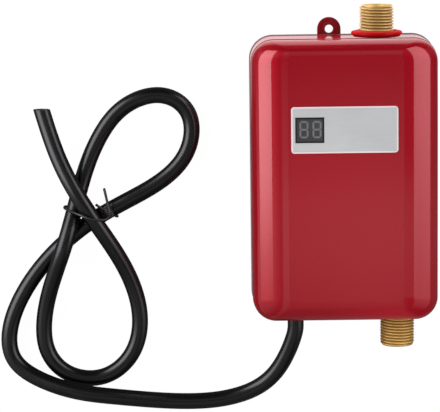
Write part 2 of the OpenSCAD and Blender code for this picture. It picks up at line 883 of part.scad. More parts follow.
// Steel tube in which the water is heated
module heating_tank() {
    color("lightsteelblue")
        difference() {
            rod_y(tank_r, tank_y0, tank_y1, tank_x, tank_z);
            rod_y(tank_bore_r, tank_y0 - 1, tank_y1 + 1, tank_x, tank_z);
        }
}

// Cap at the cold end of the tank
module inlet_cap() {
    color("dimgray")
        difference() {
            rod_y(cap_r, switch_end_y, tank_y0 + cap_grip, tank_x, tank_z);
            rod_y(tank_r + fit_gap, tank_y0, tank_y0 + cap_grip + 1, tank_x, tank_z);
            rod_y(port_r, switch_end_y - 1, tank_y0 + 1, inlet_x, fit_z);
        }
}

// Cap at the hot end of the tank, with the collar for the outlet's stem
module outlet_cap() {
    color("dimgray")
        difference() {
            union() {
                rod_y(cap_r, tank_y1 - cap_grip, cap_y, tank_x, tank_z);
                rod_y(collar_r, tank_y1, collar_y, outlet_x, fit_z);
            }
            rod_y(tank_r + fit_gap, tank_y1 - cap_grip - 1, tank_y1, tank_x, tank_z);
            rod_y(stem_r + fit_gap, collar_y - stem_socket, collar_y + 1, outlet_x, fit_z);
            rod_y(port_r, tank_y1 - 1, collar_y, outlet_x, fit_z);
            for (z = [-1, 1])
                rod_y(
                    element_r + fit_gap, tank_y1 - 1, cap_y + 1,
                    tank_x + element_x, tank_z + z * element_z
                );
            rod_y(probe_r + fit_gap, tank_y1 - 1, cap_y + 1, probe_x, probe_z);
        }
}

// Tubular element folded into four legs, with its two terminals
module heating_element() {
    color("gray")
        translate([tank_x, 0, tank_z]) {
            for (z = [-element_z, element_z]) {
                rod_y(element_r, leg_y0, element_end_y, element_x, z);
                rod_y(terminal_r, leg_y1, cap_y + terminal_len, element_x, z);
                rod_y(element_r, leg_y0, leg_y1, -element_x, z);
                translate([0, leg_y0, z])
                    rotate([0, 0, 180])
                        rotate_extrude(angle = 180)
                            translate([element_x, 0])
                                circle(element_r);
            }
            translate([-element_x, leg_y1, 0])
                rotate([0, -90, 0])
                    rotate_extrude(angle = 180)
                        translate([element_z, 0])
                            circle(element_r);
        }
}

// Temperature probe in the hot end of the tank
module temperature_probe() {
    color("silver") {
        rod_y(probe_r, tank_y1 - probe_len, cap_y + 1, probe_x, probe_z);
        rod_y(probe_head_r, cap_y, cap_y + probe_head_h, probe_x, probe_z);
    }
}

// Two bent straps that hold the tank down on its cradles
module tank_straps() {
    color("gainsboro")
        for (y = strap_ys)
            translate([tank_x, y, 0])
                difference() {
                    union() {
                        rod_y(strap_leg, -strap_w / 2, strap_w / 2, 0, tank_z);
                        translate([-strap_leg, -strap_w / 2, strap_foot_z])
                            cube([2 * strap_leg, strap_w, tank_z - strap_foot_z]);
                        translate([-strap_leg - strap_foot, -strap_w / 2, strap_foot_z])
                            cube([2 * (strap_leg + strap_foot), strap_w, strap_t]);
                    }
                    rod_y(strap_r, -strap_w, strap_w, 0, tank_z);
                    translate([-strap_r, -strap_w, -1])
                        cube([2 * strap_r, 2 * strap_w, tank_z + 1]);
                    translate([-strap_leg - 1, -strap_w, strap_foot_z - strap_leg])
                        cube([2 * strap_leg + 2, 2 * strap_w, strap_leg]);
                    for (x = [-1, 1])
                        translate([x * strap_screw_x, 0, strap_foot_z - 1])
                            cylinder(r = screw_r + fit_gap, h = strap_t + 2);
                }
}

// Screws that hold the straps' feet
module strap_screws() {
    color("silver")
        at_strap_screws()
            translate([0, 0, strap_foot_z + strap_t])
                mirror([0, 0, 1])
                    screw(strap_screw_len);
}

// Metal saddle on the tank that carries the cut-out and cools the power switch
module cooling_saddle() {
    color("lightgray")
        difference() {
            translate([tank_x - saddle_w / 2, saddle_y0, saddle_z - saddle_drop])
                cube([saddle_w, saddle_len, saddle_drop]);
            rod_y(tank_r + fit_gap, saddle_y0 - 1, saddle_y0 + saddle_len + 1, tank_x, tank_z);
        }
}

// Disc-shaped thermal cut-out with its two blades
module thermal_cutout() {
    color("sienna")
        translate([tank_x, cutout_y, saddle_z]) {
            cylinder(r = cutout_r, h = cutout_t);
            for (x = [-1, 1])
                translate([x * (cutout_r + blade_len / 2 - 1) - blade_len / 2, -blade_w / 2, cutout_t / 2])
                    cube([blade_len, blade_w, blade_t]);
        }
}

// Power switch that lies flat on the saddle, with its three legs
module power_triac() {
    color("black")
        translate([tank_x, triac_y, saddle_z]) {
            translate([-triac_w / 2, -triac_len / 2, 0])
                cube([triac_w, triac_len, triac_t]);
            for (y = [-1, 0, 1])
                translate([-triac_w / 2 - triac_leg, y * triac_pitch, triac_t / 2])
                    rotate([0, 90, 0])
                        cylinder(r = triac_leg_r, h = triac_leg + 1);
        }
}

// Rubber grommet in the wall round the cord
module cord_grommet() {
    bore = cord_r + fit_gap;
    inner = wall + grommet_lip_t;
    color("black")
        turned_y(
            [
                [bore, -grommet_lip_t], [lip_r, -grommet_lip_t], [lip_r, 0], [grommet_r, 0],
                [grommet_r, wall], [lip_r, wall], [lip_r, inner], [bore, inner]
            ],
            cord_x, cord_z, -end_y
        );
}

// Cord inside the housing, from the grommet's outer face through the clamp
module cord_tail() {
    color("black")
        rod_y(cord_r, entry_y, tail_y, cord_x, cord_z);
}

// Bridge that clamps the cord on its seat
module cord_clamp() {
    color("ivory")
        difference() {
            translate([cord_x - clamp_span / 2, clamp_y - clamp_w / 2, clamp_z])
                cube([clamp_span, clamp_w, clamp_top_z - clamp_z]);
            rod_y(cord_r + fit_gap, clamp_y - clamp_w, clamp_y + clamp_w, cord_x, cord_z);
            for (x = [-1, 1])
                translate([cord_x + x * clamp_screw_x, clamp_y, clamp_z - 1])
                    cylinder(r = screw_r + fit_gap, h = clamp_top_z - clamp_z + 2);
        }
}

// Screws of the cord clamp
module clamp_screws() {
    color("silver")
        for (x = [-1, 1])
            translate([cord_x + x * clamp_screw_x, clamp_y, clamp_top_z])
                mirror([0, 0, 1])
                    screw(clamp_top_z - clamp_z + clamp_screw_len - 2);
}

// Three-way terminal block on the back plate
module terminal_block() {
    color("whitesmoke")
        difference() {
            translate([cord_x - block_w / 2, block_y0, back_t])
                cube([block_w, block_len, block_h]);
            for (k = [-1, 0, 1]) {
                for (y = [block_y0 - 1, block_y1 - wire_hole_depth])
                    rod_y(wire_hole_r, y, y + wire_hole_depth + 1, cord_x + k * terminal_pitch, wire_hole_z);
                for (y = [block_y0 + block_len / 4, block_y1 - block_len / 4])
                    translate([cord_x + k * terminal_pitch, y, back_t + block_h - 2])
                        cylinder(r = block_screw_r, h = 3);
            }
        }
}

// One core of the cord, from the cord's inner end to its terminal
module core(k) {
    start = [cord_x + core_ring * k, tail_y, cord_z + (k == 0 ? core_ring : -core_ring / 2)];
    finish = [cord_x + k * terminal_pitch, block_y0 + wire_hole_depth - lead_in, wire_hole_z];
    lead(
        [
            start, start + [0, lead_in, 0], (start + finish - [0, lead_in, 0]) / 2,
            finish - [0, wire_hole_depth, 0], finish
        ],
        core_r
    );
}

module live_core() {
    color("saddlebrown")
        core(-1);
}

module earth_core() {
    color("yellowgreen")
        core(0);
}

module neutral_core() {
    color("royalblue")
        core(1);
}

// Heat-proof leads: terminal block to power switch and cut-out, and from those two to the element
module heater_leads() {
    block_end = [cord_x, block_y1 - wire_hole_depth + lead_in, wire_hole_z];
    block_out = block_end + [0, wire_hole_depth, 0];
    next_terminal = [terminal_pitch, 0, 0];
    half_x = (cord_x + tank_x - strap_leg - strap_foot) / 2;
    rise_z = strap_foot_z + screw_head_h + lead_bend;
    side_lead_x = tank_x + strap_leg + lead_room;
    triac_left = [tank_x - triac_w / 2 - triac_leg, triac_y, saddle_z + triac_t / 2];
    triac_right = [tank_x + triac_w / 2, triac_y, saddle_z + triac_t / 2];
    blade_z = saddle_z + (cutout_t + blade_t) / 2;
    cutout_left = [tank_x - cutout_r - blade_len + 1, cutout_y, blade_z];
    cutout_right = [tank_x + cutout_r + blade_len - 1, cutout_y, blade_z];
    low_end = [tank_x + element_x, cap_y + terminal_len, tank_z - element_z];
    high_end = [tank_x + element_x, cap_y + terminal_len, tank_z + element_z];
    turn = [2 * lead_in, lead_in + lead_r / 2, 0];
    color("white") {
        lead(
            [
                block_end, block_out, [half_x, triac_y - lead_bend, rise_z],
                triac_left - [lead_bend, 0, 0], triac_left
            ],
            lead_r
        );
        lead(
            [
                block_end - next_terminal, block_out - next_terminal,
                [half_x, cutout_y - lead_bend, rise_z + lead_room],
                cutout_left - [lead_bend, 0, 0], cutout_left
            ],
            lead_r
        );
        lead(
            [
                low_end, low_end + [0, lead_in, 0], low_end + turn,
                [side_lead_x, cap_y - lead_bend, tank_z - element_z], [side_lead_x, cutout_y, tank_z],
                [side_lead_x, triac_y + lead_bend, saddle_z - lead_room],
                triac_right + [lead_bend, 0, 0], triac_right
            ],
            lead_r
        );
        lead(
            [
                high_end, high_end + [0, lead_in, 0], high_end + turn,
                [side_lead_x, cap_y - lead_bend, tank_z + element_z],
                [side_lead_x, saddle_y0 + saddle_len + lead_bend, saddle_z - lead_room],
                cutout_right + [lead_room, 0, 0], cutout_right
            ],
            lead_r
        );
    }
}

// Thin leads from the board's plugs to the reed switch and to the temperature probe
module sensor_leads() {
    thin_r = lead_r * 0.6;
    reed_end = [inlet_x, reed_y + reed_len / 2, reed_z];
    probe_end = [probe_x, cap_y + probe_head_h, probe_z];
    low_plug = [label_x + plug_x, label_y - plug_y, plug_z];
    high_plug = [label_x + plug_x, label_y + plug_y, plug_z];
    over_z = tank_z + cap_r + lead_room;
    color("red") {
        lead(
            [
                reed_end, reed_end + [0, lead_in, 0], [inlet_x - lead_in, switch_end_y - 1, over_z],
                [tank_x - strap_leg, strap_low_y, max(over_z, plug_z)],
                [tank_x - cutout_r - blade_len - lead_room, cutout_y - lead_bend, plug_z],
                low_plug - [0, lead_bend, 0], low_plug
            ],
            thin_r
        );
        lead(
            [
                probe_end, probe_end + [0, lead_in, 0], probe_end + [-lead_room, lead_bend, lead_bend],
                high_plug + [2 * lead_bend, 2 * lead_bend, -lead_in],
                high_plug + [0, lead_bend, 0], high_plug
            ],
            thin_r
        );
    }
}

// Free supply cord, folded over itself and cut straight at its far end
module power_cord() {
    color("black")
        tube(laid(flow(cord_route, 2), cord_r), cord_r, 10);
}

// Wire tie that holds the folded cord together
module cord_tie() {
    color("black")
        tube(laid(smooth(tie_route, 2), tie_r), tie_r, 6);
}

cord_fine = laid(flow(cord_route, 8), cord_r);
echo(cord_length = route_length(cord_fine), cord_gap = least_gap(cord_fine, 24, 2 * cord_r));

front_cover();
rear_cover();
casing_seal();
casing_screws();
display_label();
display_window();
display_module();
control_board();
board_parts();
board_screws();
outlet_fitting();
inlet_fitting();
outlet_ring();
fitting_washers();
inlet_filter();
flow_housing();
flow_piston();
piston_magnet();
piston_spring();
reed_switch();
heating_tank();
inlet_cap();
outlet_cap();
heating_element();
temperature_probe();
tank_straps();
strap_screws();
cooling_saddle();
thermal_cutout();
power_triac();
cord_grommet();
cord_tail();
cord_clamp();
clamp_screws();
terminal_block();
live_core();
neutral_core();
earth_core();
heater_leads();
sensor_leads();
power_cord();
cord_tie();
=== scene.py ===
import bpy
import bmesh
import math
from mathutils import Matrix, Vector


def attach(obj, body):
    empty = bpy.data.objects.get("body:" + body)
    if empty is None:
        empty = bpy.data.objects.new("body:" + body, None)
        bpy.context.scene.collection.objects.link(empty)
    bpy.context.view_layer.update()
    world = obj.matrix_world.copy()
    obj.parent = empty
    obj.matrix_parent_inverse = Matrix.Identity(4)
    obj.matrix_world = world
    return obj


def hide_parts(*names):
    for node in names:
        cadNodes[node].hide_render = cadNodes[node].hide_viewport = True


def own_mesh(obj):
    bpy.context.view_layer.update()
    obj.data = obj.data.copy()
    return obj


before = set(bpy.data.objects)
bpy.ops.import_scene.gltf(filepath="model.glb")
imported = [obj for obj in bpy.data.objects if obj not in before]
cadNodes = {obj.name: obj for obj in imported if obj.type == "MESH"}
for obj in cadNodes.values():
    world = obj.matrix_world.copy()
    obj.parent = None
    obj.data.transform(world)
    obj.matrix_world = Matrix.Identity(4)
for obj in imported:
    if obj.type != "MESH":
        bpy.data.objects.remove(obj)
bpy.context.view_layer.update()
scene = bpy.context.scene
scene.view_settings.view_transform = "Standard"
mm = 0.001
weld = 0.000002  # points nearer than this become one
print("frame loaded,", len(cadNodes), "nodes")


# small tools for working by operators

def deselect():
    if bpy.context.object and bpy.context.object.mode != "OBJECT":
        bpy.ops.object.mode_set(mode="OBJECT")
    bpy.ops.object.select_all(action="DESELECT")


def activate(obj):
    deselect()
    obj.select_set(True)
    bpy.context.view_layer.objects.active = obj


def named(name):  # the primitive that was just added
    obj = bpy.context.object
    obj.name = name
    obj.data.name = name
    return obj


def edit(obj, mode="VERT"):
    activate(obj)
    bpy.ops.object.mode_set(mode="EDIT")
    bpy.ops.mesh.select_mode(type=mode)
    bpy.ops.mesh.select_all(action="DESELECT")


def pick(obj, kind, test):  # selects verts, edges or faces by place or normal
    mesh = bmesh.from_edit_mesh(obj.data)
    for item in getattr(mesh, kind):
        item.select_set(bool(test(item)))
    mesh.select_flush_mode()
    bmesh.update_edit_mesh(obj.data)


def done(obj):
    bpy.ops.object.mode_set(mode="OBJECT")
    return obj


def modify(obj, kind, **settings):
    activate(obj)
    mod = obj.modifiers.new(kind.title(), kind)
    for key, value in settings.items():
        setattr(mod, key, value)
    bpy.ops.object.modifier_apply(modifier=mod.name)


def cut(obj, tool):
    modify(obj, "BOOLEAN", object=tool, operation="DIFFERENCE", solver="EXACT")
    activate(tool)
    bpy.ops.object.delete()


def place(obj):  # puts the place, turn and size into the mesh
    activate(obj)
    bpy.ops.object.transform_apply(location=True, rotation=True, scale=True)


def outward(obj):
    edit(obj)
    bpy.ops.mesh.select_all(action="SELECT")
    bpy.ops.mesh.remove_doubles(threshold=weld)
    bpy.ops.mesh.normals_make_consistent(inside=False)
    done(obj)


def join(objs, name):
    deselect()
    for obj in objs:
        obj.select_set(True)
    bpy.context.view_layer.objects.active = objs[0]
    bpy.ops.object.join()
    return named(name)


def smooth(obj, angle):
    activate(obj)
    bpy.ops.object.shade_smooth_by_angle(angle=math.radians(angle))


def block(name, size, at):
    deselect()
    bpy.ops.mesh.primitive_cube_add(size=1, location=[v * mm for v in at])
    obj = named(name)
    obj.scale = [v * mm for v in size]
    place(obj)
    return obj


def bevelEdges(obj, test, width, steps):
    edit(obj, "EDGE")
    pick(obj, "edges", test)
    bpy.ops.mesh.bevel(offset=width * mm, segments=steps, profile=0.5, affect="EDGES")
    done(obj)


def roundEdges(obj, width, steps, angle):  # every edge sharper than the angle
    modify(
        obj, "BEVEL", width=width * mm, segments=steps, limit_method="ANGLE", angle_limit=math.radians(angle)
    )


def edgeWay(edge):
    return (edge.verts[1].co - edge.verts[0].co).normalized()


def lathe(name, profile, at, way=1, sides=96):  # profile: radius and distance along Y, in mm
    deselect()
    r, along = profile[0]
    bpy.ops.mesh.primitive_circle_add(
        vertices=sides, radius=r * mm, location=(at[0] * mm, (at[1] + way * along) * mm, at[2] * mm),
        rotation=(math.pi / 2, 0, 0)
    )
    obj = named(name)
    place(obj)
    edit(obj)
    bpy.ops.mesh.select_all(action="SELECT")
    for before, after in zip(profile, profile[1:] + profile[:1]):
        bpy.ops.mesh.extrude_edges_move(
            TRANSFORM_OT_translate={"value": (0, way * (after[1] - before[1]) * mm, 0)}
        )
        if abs(after[0] - before[0]) > 1e-9:
            grow = after[0] / before[0]
            bpy.ops.transform.resize(
                value=(grow, 1, grow),
                center_override=(at[0] * mm, (at[1] + way * after[1]) * mm, at[2] * mm)
            )
    done(obj)
    outward(obj)
    return obj


def softCopy(node, name, width, steps, angle=40, flat=0.4):  # a CAD node with its edges rounded
    obj = bpy.data.objects.new(name, cadNodes[node].data.copy())
    scene.collection.objects.link(obj)
    obj.data.name = name
    edit(obj)
    bpy.ops.mesh.select_all(action="SELECT")
    bpy.ops.mesh.remove_doubles(threshold=weld)
    bpy.ops.mesh.dissolve_limited(angle_limit=math.radians(flat))
    done(obj)
    obj.data.materials.clear()
    roundEdges(obj, width, steps, angle)
    smooth(obj, angle)
    return obj


def finishPiece(obj, material, body, slotName, *replaced):
    obj.data.materials.clear()
    obj.data.materials.append(material)
    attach(obj, body)
    if replaced:
        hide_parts(*replaced)
    return obj


# materials: sockets with arithmetic

class Wire:
    def __init__(self, tree, socket=None):
        self.tree = tree
        self.socket = socket

    def add(self, kind, settings=None, links=None, out=0):
        node = self.tree.nodes.new(kind)
        for key, value in (settings or {}).items():
            if key == "stops":
                while len(node.color_ramp.elements) < len(value):
                    node.color_ramp.elements.new(0.5)
                for element, (spot, colour) in zip(node.color_ramp.elements, value):
                    element.position = spot
                    element.color = (*colour, 1)
            else:
                setattr(node, key, value)
        for key, value in (links or {}).items():
            if isinstance(value, Wire):
                self.tree.links.new(value.socket, node.inputs[key])
            else:
                node.inputs[key].default_value = value
        return Wire(self.tree, node.outputs[out])

    def calc(self, operation, a, b):
        return self.add("ShaderNodeMath", {"operation": operation}, {0: a, 1: b})

    def __add__(self, other):
        return self.calc("ADD", self, other)

    __radd__ = __add__

    def __sub__(self, other):
        return self.calc("SUBTRACT", self, other)

    def __rsub__(self, other):
        return self.calc("SUBTRACT", other, self)

    def __mul__(self, other):
        return self.calc("MULTIPLY", self, other)

    __rmul__ = __mul__

    def __lt__(self, other):
        return self.calc("LESS_THAN", self, other)


def tint(r, g, b):  # picture values to linear colour
    return tuple(((v / 255 + 0.055) / 1.055) ** 2.4 if v > 10 else v / 3295 for v in (r, g, b))


inputNames = {
    "colour": "Base Color", "roughness": "Roughness", "metallic": "Metallic", "normal": "Normal",
    "specular": "Specular IOR Level", "coat": "Coat Weight", "coatRoughness": "Coat Roughness"
}


def newFinish(name, **fixed):
    material = bpy.data.materials.new(name)
    material.use_nodes = True
    tree = material.node_tree
    shader = tree.nodes["Principled BSDF"]
    for key, value in fixed.items():
        shader.inputs[inputNames[key]].default_value = value
    return material, shader, Wire(tree).add("ShaderNodeTexCoord", out="Object")


def feed(shader, **wires):
    for key, wire in wires.items():
        wire.tree.links.new(wire.socket, shader.inputs[inputNames[key]])


def grain(at, scale, detail=3.0, roughness=0.5, stretch=None):
    if stretch:
        at = at.add("ShaderNodeMapping", {}, {"Vector": at, "Scale": stretch})
    noise = {"Vector": at, "Scale": scale, "Detail": detail, "Roughness": roughness}
    return at.add("ShaderNodeTexNoise", {}, noise, "Fac")


def mixColours(at, factor, low, high):
    return at.add("ShaderNodeMix", {"data_type": "RGBA"}, {0: factor, 6: low, 7: high}, 2)


def between(at, factor, low, high):
    return mixColours(at, factor, (*low, 1), (*high, 1))


def greyRamp(wire, value, stops):
    greys = [(spot, (v, v, v)) for spot, v in stops]
    return wire.add("ShaderNodeValToRGB", {"stops": greys}, {"Fac": value})


def bump(at, height, strength, distance):
    relief = {"Height": height, "Strength": strength, "Distance": distance}
    return at.add("ShaderNodeBump", {}, relief, "Normal")


def axes(at):
    split = at.add("ShaderNodeSeparateXYZ", {}, {"Vector": at})
    owner = split.socket.node
    return [Wire(at.tree, owner.outputs[k]) for k in range(3)]


crimson = {
    "deep": (0.25, 0.0028, 0.008), "bright": (0.355, 0.0053, 0.015), "metallic": 0.36, "roughness": 0.38,
    "coat": 0.8, "coatRoughness": 0.04, "flake": 9000, "speck": 1100, "cloud": 14, "peel": 420
}


def crimsonLacquer(name, paintedShade=1.0):
    material, shader, at = newFinish(
        name, metallic=crimson["metallic"], specular=0.0,
        coat=crimson["coat"], coatRoughness=crimson["coatRoughness"]
    )
    # a value below 1 here makes a darker copy of the lacquer: painted shade
    shades = [tuple(v * paintedShade for v in crimson[k]) for k in ("deep", "bright")]
    flake = grain(at, crimson["flake"], 1.0)
    speck = grain(at, crimson["speck"], 2.0, 0.6) * 2.6 - 0.8  # more contrast round the middle
    cloud = grain(at, crimson["cloud"], 2.0)
    peel = grain(at, crimson["peel"], 2.0)
    feed(
        shader,
        colour=between(at, flake * 0.3 + speck * 0.5 + cloud * 0.2, *shades),
        roughness=crimson["roughness"] - 0.05 + flake * 0.1,
        normal=bump(at, peel * 0.7 + speck * 0.12, 0.05, 0.0002)
    )
    return material


def mouldedPlastic(name, low, high, roughness, texture=0.12, scale=2600, coat=0.0, specular=0.5):
    material, shader, at = newFinish(name, coat=coat, coatRoughness=0.15, specular=specular)
    fine = grain(at, scale, 3.0)
    cloud = grain(at, 60, 2.0)
    feed(
        shader,
        colour=between(at, cloud * 0.7 + fine * 0.3, low, high),
        roughness=roughness - 0.06 + fine * 0.12,
        normal=bump(at, fine, texture, 0.0001)
    )
    return material


def brushedMetal(name, low, high, roughness, stretch, scale=900):
    material, shader, at = newFinish(name, metallic=1.0)
    line = grain(at, scale, 4.0, 0.6, stretch)
    cloud = grain(at, 45, 3.0)
    feed(
        shader,
        colour=between(at, line * 0.45 + cloud * 0.55, low, high),
        roughness=roughness - 0.08 + line * 0.1 + cloud * 0.06,
        normal=bump(at, line, 0.12, 0.00005)
    )
    return material


def rubberSkin(name, low, high, roughness=0.5):
    material, shader, at = newFinish(name, specular=0.5)
    fine = grain(at, 5200, 2.0)
    patch = grain(at, 90, 3.0)
    feed(
        shader,
        colour=between(at, patch, low, high),
        roughness=roughness - 0.08 + patch * 0.1 + fine * 0.06,
        normal=bump(at, fine, 0.16, 0.00008)
    )
    return material


# camera as in the photograph
view = {
    "target": (-75.9, -19.85, 0), "distance": 1500, "tilt": 8.9, "roll": -0.75, "focal": 2416, "wide": 440,
    "sensor": 36, "near": 0.05
}


def makeCamera():
    tilt, roll = math.radians(view["tilt"]), math.radians(view["roll"])
    right, up = Vector((1, 0, 0)), Vector((0, math.cos(tilt), -math.sin(tilt)))
    back = Vector((0, math.sin(tilt), math.cos(tilt)))
    deselect()
    bpy.ops.object.camera_add()
    camera = named("camera")
    turned = (
        math.cos(roll) * right + math.sin(roll) * up, math.cos(roll) * up - math.sin(roll) * right, back
    )
    where = (Vector(view["target"]) + view["distance"] * back) * mm
    camera.matrix_world = Matrix.Translation(where) @ Matrix(turned).transposed().to_4x4()
    camera.data.sensor_fit = "HORIZONTAL"
    camera.data.sensor_width = view["sensor"]
    camera.data.lens = view["focal"] / view["wide"] * view["sensor"]
    camera.data.clip_start = view["near"]
    scene.camera = camera


makeCamera()
print("camera set")

# supply cord: the route of the solid, in metres
cord = {
    "radius": 0.005, "sides": 32, "steps": 10, "length": 0.873, "jacket": 0.0014, "coreR": 0.00145,
    "cutY": 0.0424, "dent": 0.0008,
    "route": [
        (-0.030, -0.088, 0.015), (-0.030, -0.092, 0.015), (-0.030, -0.098, 0.015), (-0.039, -0.121, 0.011),
        (-0.054, -0.136, 0.006), (-0.080, -0.143, 0.005), (-0.111, -0.142, 0.007), (-0.142, -0.137, 0.014),
        (-0.165, -0.134, 0.016), (-0.188, -0.128, 0.010), (-0.209, -0.116, 0.005), (-0.209, -0.093, 0.005),
        (-0.199, -0.071, 0.005), (-0.185, -0.052, 0.005), (-0.168, -0.036, 0.005), (-0.150, -0.023, 0.008),
        (-0.130, -0.013, 0.007), (-0.109, -0.002, 0.005), (-0.093, 0.015, 0.005), (-0.091, 0.041, 0.005),
        (-0.111, 0.054, 0.005), (-0.136, 0.045, 0.005), (-0.150, 0.026, 0.005), (-0.159, 0.005, 0.005),
        (-0.165, -0.017, 0.008), (-0.171, -0.039, 0.022), (-0.179, -0.060, 0.013), (-0.186, -0.082, 0.006),
        (-0.188, -0.108, 0.005), (-0.174, -0.126, 0.005), (-0.149, -0.129, 0.005), (-0.130, -0.113, 0.005),
        (-0.125, -0.090, 0.005), (-0.130, -0.067, 0.006), (-0.140, -0.046, 0.013), (-0.152, -0.027, 0.019),
        (-0.164, -0.008, 0.020), (-0.175, 0.012, 0.013), (-0.183, 0.036, 0.006), (-0.185, 0.043, 0.005)
    ]
}
tie = {  # it lies a little tighter round the folds than its solid
    "radius": 0.0008, "sides": 10, "steps": 6,
    "route": [
        (-0.147, -0.006, 0.013), (-0.145, -0.014, 0.017), (-0.1435, -0.0205, 0.0195),
        (-0.1465, -0.0237, 0.0235), (-0.155, -0.0228, 0.0262), (-0.162, -0.0205, 0.0235),
        (-0.1683, -0.0188, 0.0172), (-0.1716, -0.018, 0.012), (-0.171, -0.018, 0.0055),
        (-0.166, -0.020, 0.0022), (-0.157, -0.023, 0.001), (-0.148, -0.0235, 0.0008),
        (-0.1425, -0.0238, 0.0012), (-0.1397, -0.0244, 0.0045), (-0.1396, -0.0238, 0.0105),
        (-0.1415, -0.0222, 0.0148), (-0.144, -0.0206, 0.0175), (-0.148, -0.018, 0.018),
        (-0.152, -0.015, 0.019)
    ]
}


def throughPoint(a, b, c, d, t):
    square, cube = 2 * a - 5 * b + 4 * c - d, 3 * b - a - 3 * c + d
    return 0.5 * (2 * b + (c - a) * t + square * t * t + cube * t * t * t)


def towardPoint(a, b, c, d, t):  # softer: its bends run evenly into each other
    s = 1 - t
    return (s ** 3 * a + (3 * t ** 3 - 6 * t * t + 4) * b + (3 * s ** 3 - 6 * s * s + 4) * c + t ** 3 * d) / 6


def smoothRoute(points, steps, lowest, curve):  # the same kinds of curve as the solids'
    p = [Vector(v) for v in points]
    last = len(p) - 1
    line = [p[0]]
    for i in range(1, last - 1):
        line += [curve(*p[i - 1:i + 3], k / steps) for k in range(steps)]
    line += [curve(*p[last - 3:], 1), p[last]]
    return [Vector((v.x, v.y, max(v.z, lowest))) for v in line]


def sweep(name, line, radius, sides, cutY=None):  # a tube along the line, with its length in its UV map
    ways = [(line[min(i + 1, len(line) - 1)] - line[max(i - 1, 0)]).normalized() for i in range(len(line))]
    side = ways[0].cross(Vector((0, 0, 1))).normalized()
    turns = [2 * math.pi * j / sides for j in range(sides)]
    points, runs = [], [0.0]
    for i, (spot, way) in enumerate(zip(line, ways)):
        side = (side - way * side.dot(way)).normalized()
        other = way.cross(side)
        points += [spot + radius * (math.cos(a) * side + math.sin(a) * other) for a in turns]
        if i:
            runs.append(runs[-1] + (spot - line[i - 1]).length)
    if cutY is not None:  # the far end is cut straight, square to Y
        points[-sides:] = [v + ways[-1] * ((cutY - v.y) / ways[-1].y) for v in points[-sides:]]
    count = len(line)
    faces = []
    for i in range(count - 1):
        here, there = i * sides, (i + 1) * sides
        for j in range(sides):
            after = (j + 1) % sides
            faces.append((here + j, here + after, there + after, there + j))
    faces += [tuple(range(sides - 1, -1, -1)), tuple(range((count - 1) * sides, count * sides))]
    mesh = bpy.data.meshes.new(name)
    mesh.from_pydata(points, [], faces)
    chart = mesh.uv_layers.new(name="along")
    for face in mesh.polygons:
        for k, loop in enumerate(face.loop_indices):
            i, j = divmod(mesh.loops[loop].vertex_index, sides)
            turn = j + sides if len(face.vertices) == 4 and j == 0 and k in (1, 2) else j
            chart.data[loop].uv = (turn / sides * 2 * math.pi * radius, runs[i])
    obj = bpy.data.objects.new(name, mesh)
    scene.collection.objects.link(obj)
    outward(obj)
    smooth(obj, 50)
    return obj


def cordFinish():
    material, shader, at = newFinish("cordRubber", specular=0.42)
    chart = at.add("ShaderNodeTexCoord", out="UV")
    draw = grain(chart, 900, 3.0, 0.6, (1, 0.02, 1))  # drawn lines along the jacket
    fine = grain(at, 4200, 2.0)
    dust = grain(at, 70, 3.0)
    feed(
        shader,
        colour=between(at, dust * 0.6 + draw * 0.4, tint(4, 4, 5), tint(12, 12, 13)),
        roughness=0.2 + dust * 0.1 + fine * 0.05,
        normal=bump(at, draw * 0.6 + fine * 0.4, 0.12, 0.0001)
    )
    return material


def coreFinish(name, insulation):
    material, shader, at = newFinish(name)
    fine = grain(at, 3000, 2.0)
    feed(
        shader,
        colour=between(at, fine, tuple(v * 0.8 for v in insulation), insulation),
        roughness=0.4 + fine * 0.15
    )
    return material


cordLine = smoothRoute(cord["route"], cord["steps"], cord["radius"], towardPoint)
supplyCord = sweep("supplyCord", cordLine, cord["radius"], cord["sides"], cord["cutY"])
edit(supplyCord, "FACE")  # the jacket's wall shows at the cut
pick(supplyCord, "faces", lambda f: f.normal.y > 0.95 and len(f.verts) == cord["sides"])
bpy.ops.mesh.inset(thickness=cord["jacket"])
bpy.ops.mesh.extrude_region_move(TRANSFORM_OT_translate={"value": (0, -cord["dent"], 0)})
done(supplyCord)
cordRubber = cordFinish()
finishPiece(supplyCord, cordRubber, "heater", "cord_black", "power_cord")
cordEnd = cordLine[-1] + (cordLine[-1] - cordLine[-2]).normalized() * (cord["cutY"] - cordLine[-1].y)

# the three cores at the cut, in mm
core = {
    "deep": 1.2, "edge": 0.15, "copperR": 0.85, "dipR": 0.8, "dip": 0.1, "tipR": 0.05, "gap": 0.1, "sides": 24
}
coreR = cord["coreR"] / mm
coreOff = (cord["radius"] - cord["jacket"]) / mm - coreR - core["gap"]
coreProfile = [
    (core["tipR"], -core["deep"]), (coreR, -core["deep"]), (coreR, -core["edge"]), (coreR - core["edge"], 0),
    (core["copperR"], 0), (core["dipR"], -core["dip"]), (core["tipR"], -core["dip"])
]
for name, slotName, insulation, turn in (
    ("liveEnd", "core_brown", (0.06, 0.022, 0.01), 90), ("neutralEnd", "core_blue", (0.01, 0.03, 0.12), 210),
    ("earthEnd", "core_green", (0.09, 0.13, 0.02), 330)
):
    a = math.radians(turn)
    spot = (cordEnd.x / mm + coreOff * math.cos(a), cord["cutY"] / mm, cordEnd.z / mm + coreOff * math.sin(a))
    coreEnd = lathe(name, coreProfile, spot, 1, core["sides"])
    smooth(coreEnd, 40)
    finishPiece(coreEnd, coreFinish(name + "Skin", insulation), "heater", slotName)

# wire tie: one loop round the strands and a twisted knot
knot = {
    "middle": (-0.1448, -0.0195, 0.0158), "way": (-0.45, 0.86, 0.22), "radius": 0.0024, "long": 0.0082,
    "turns": 3.5, "steps": 14, "ends": 0.75, "phases": (0, 0.5)
}


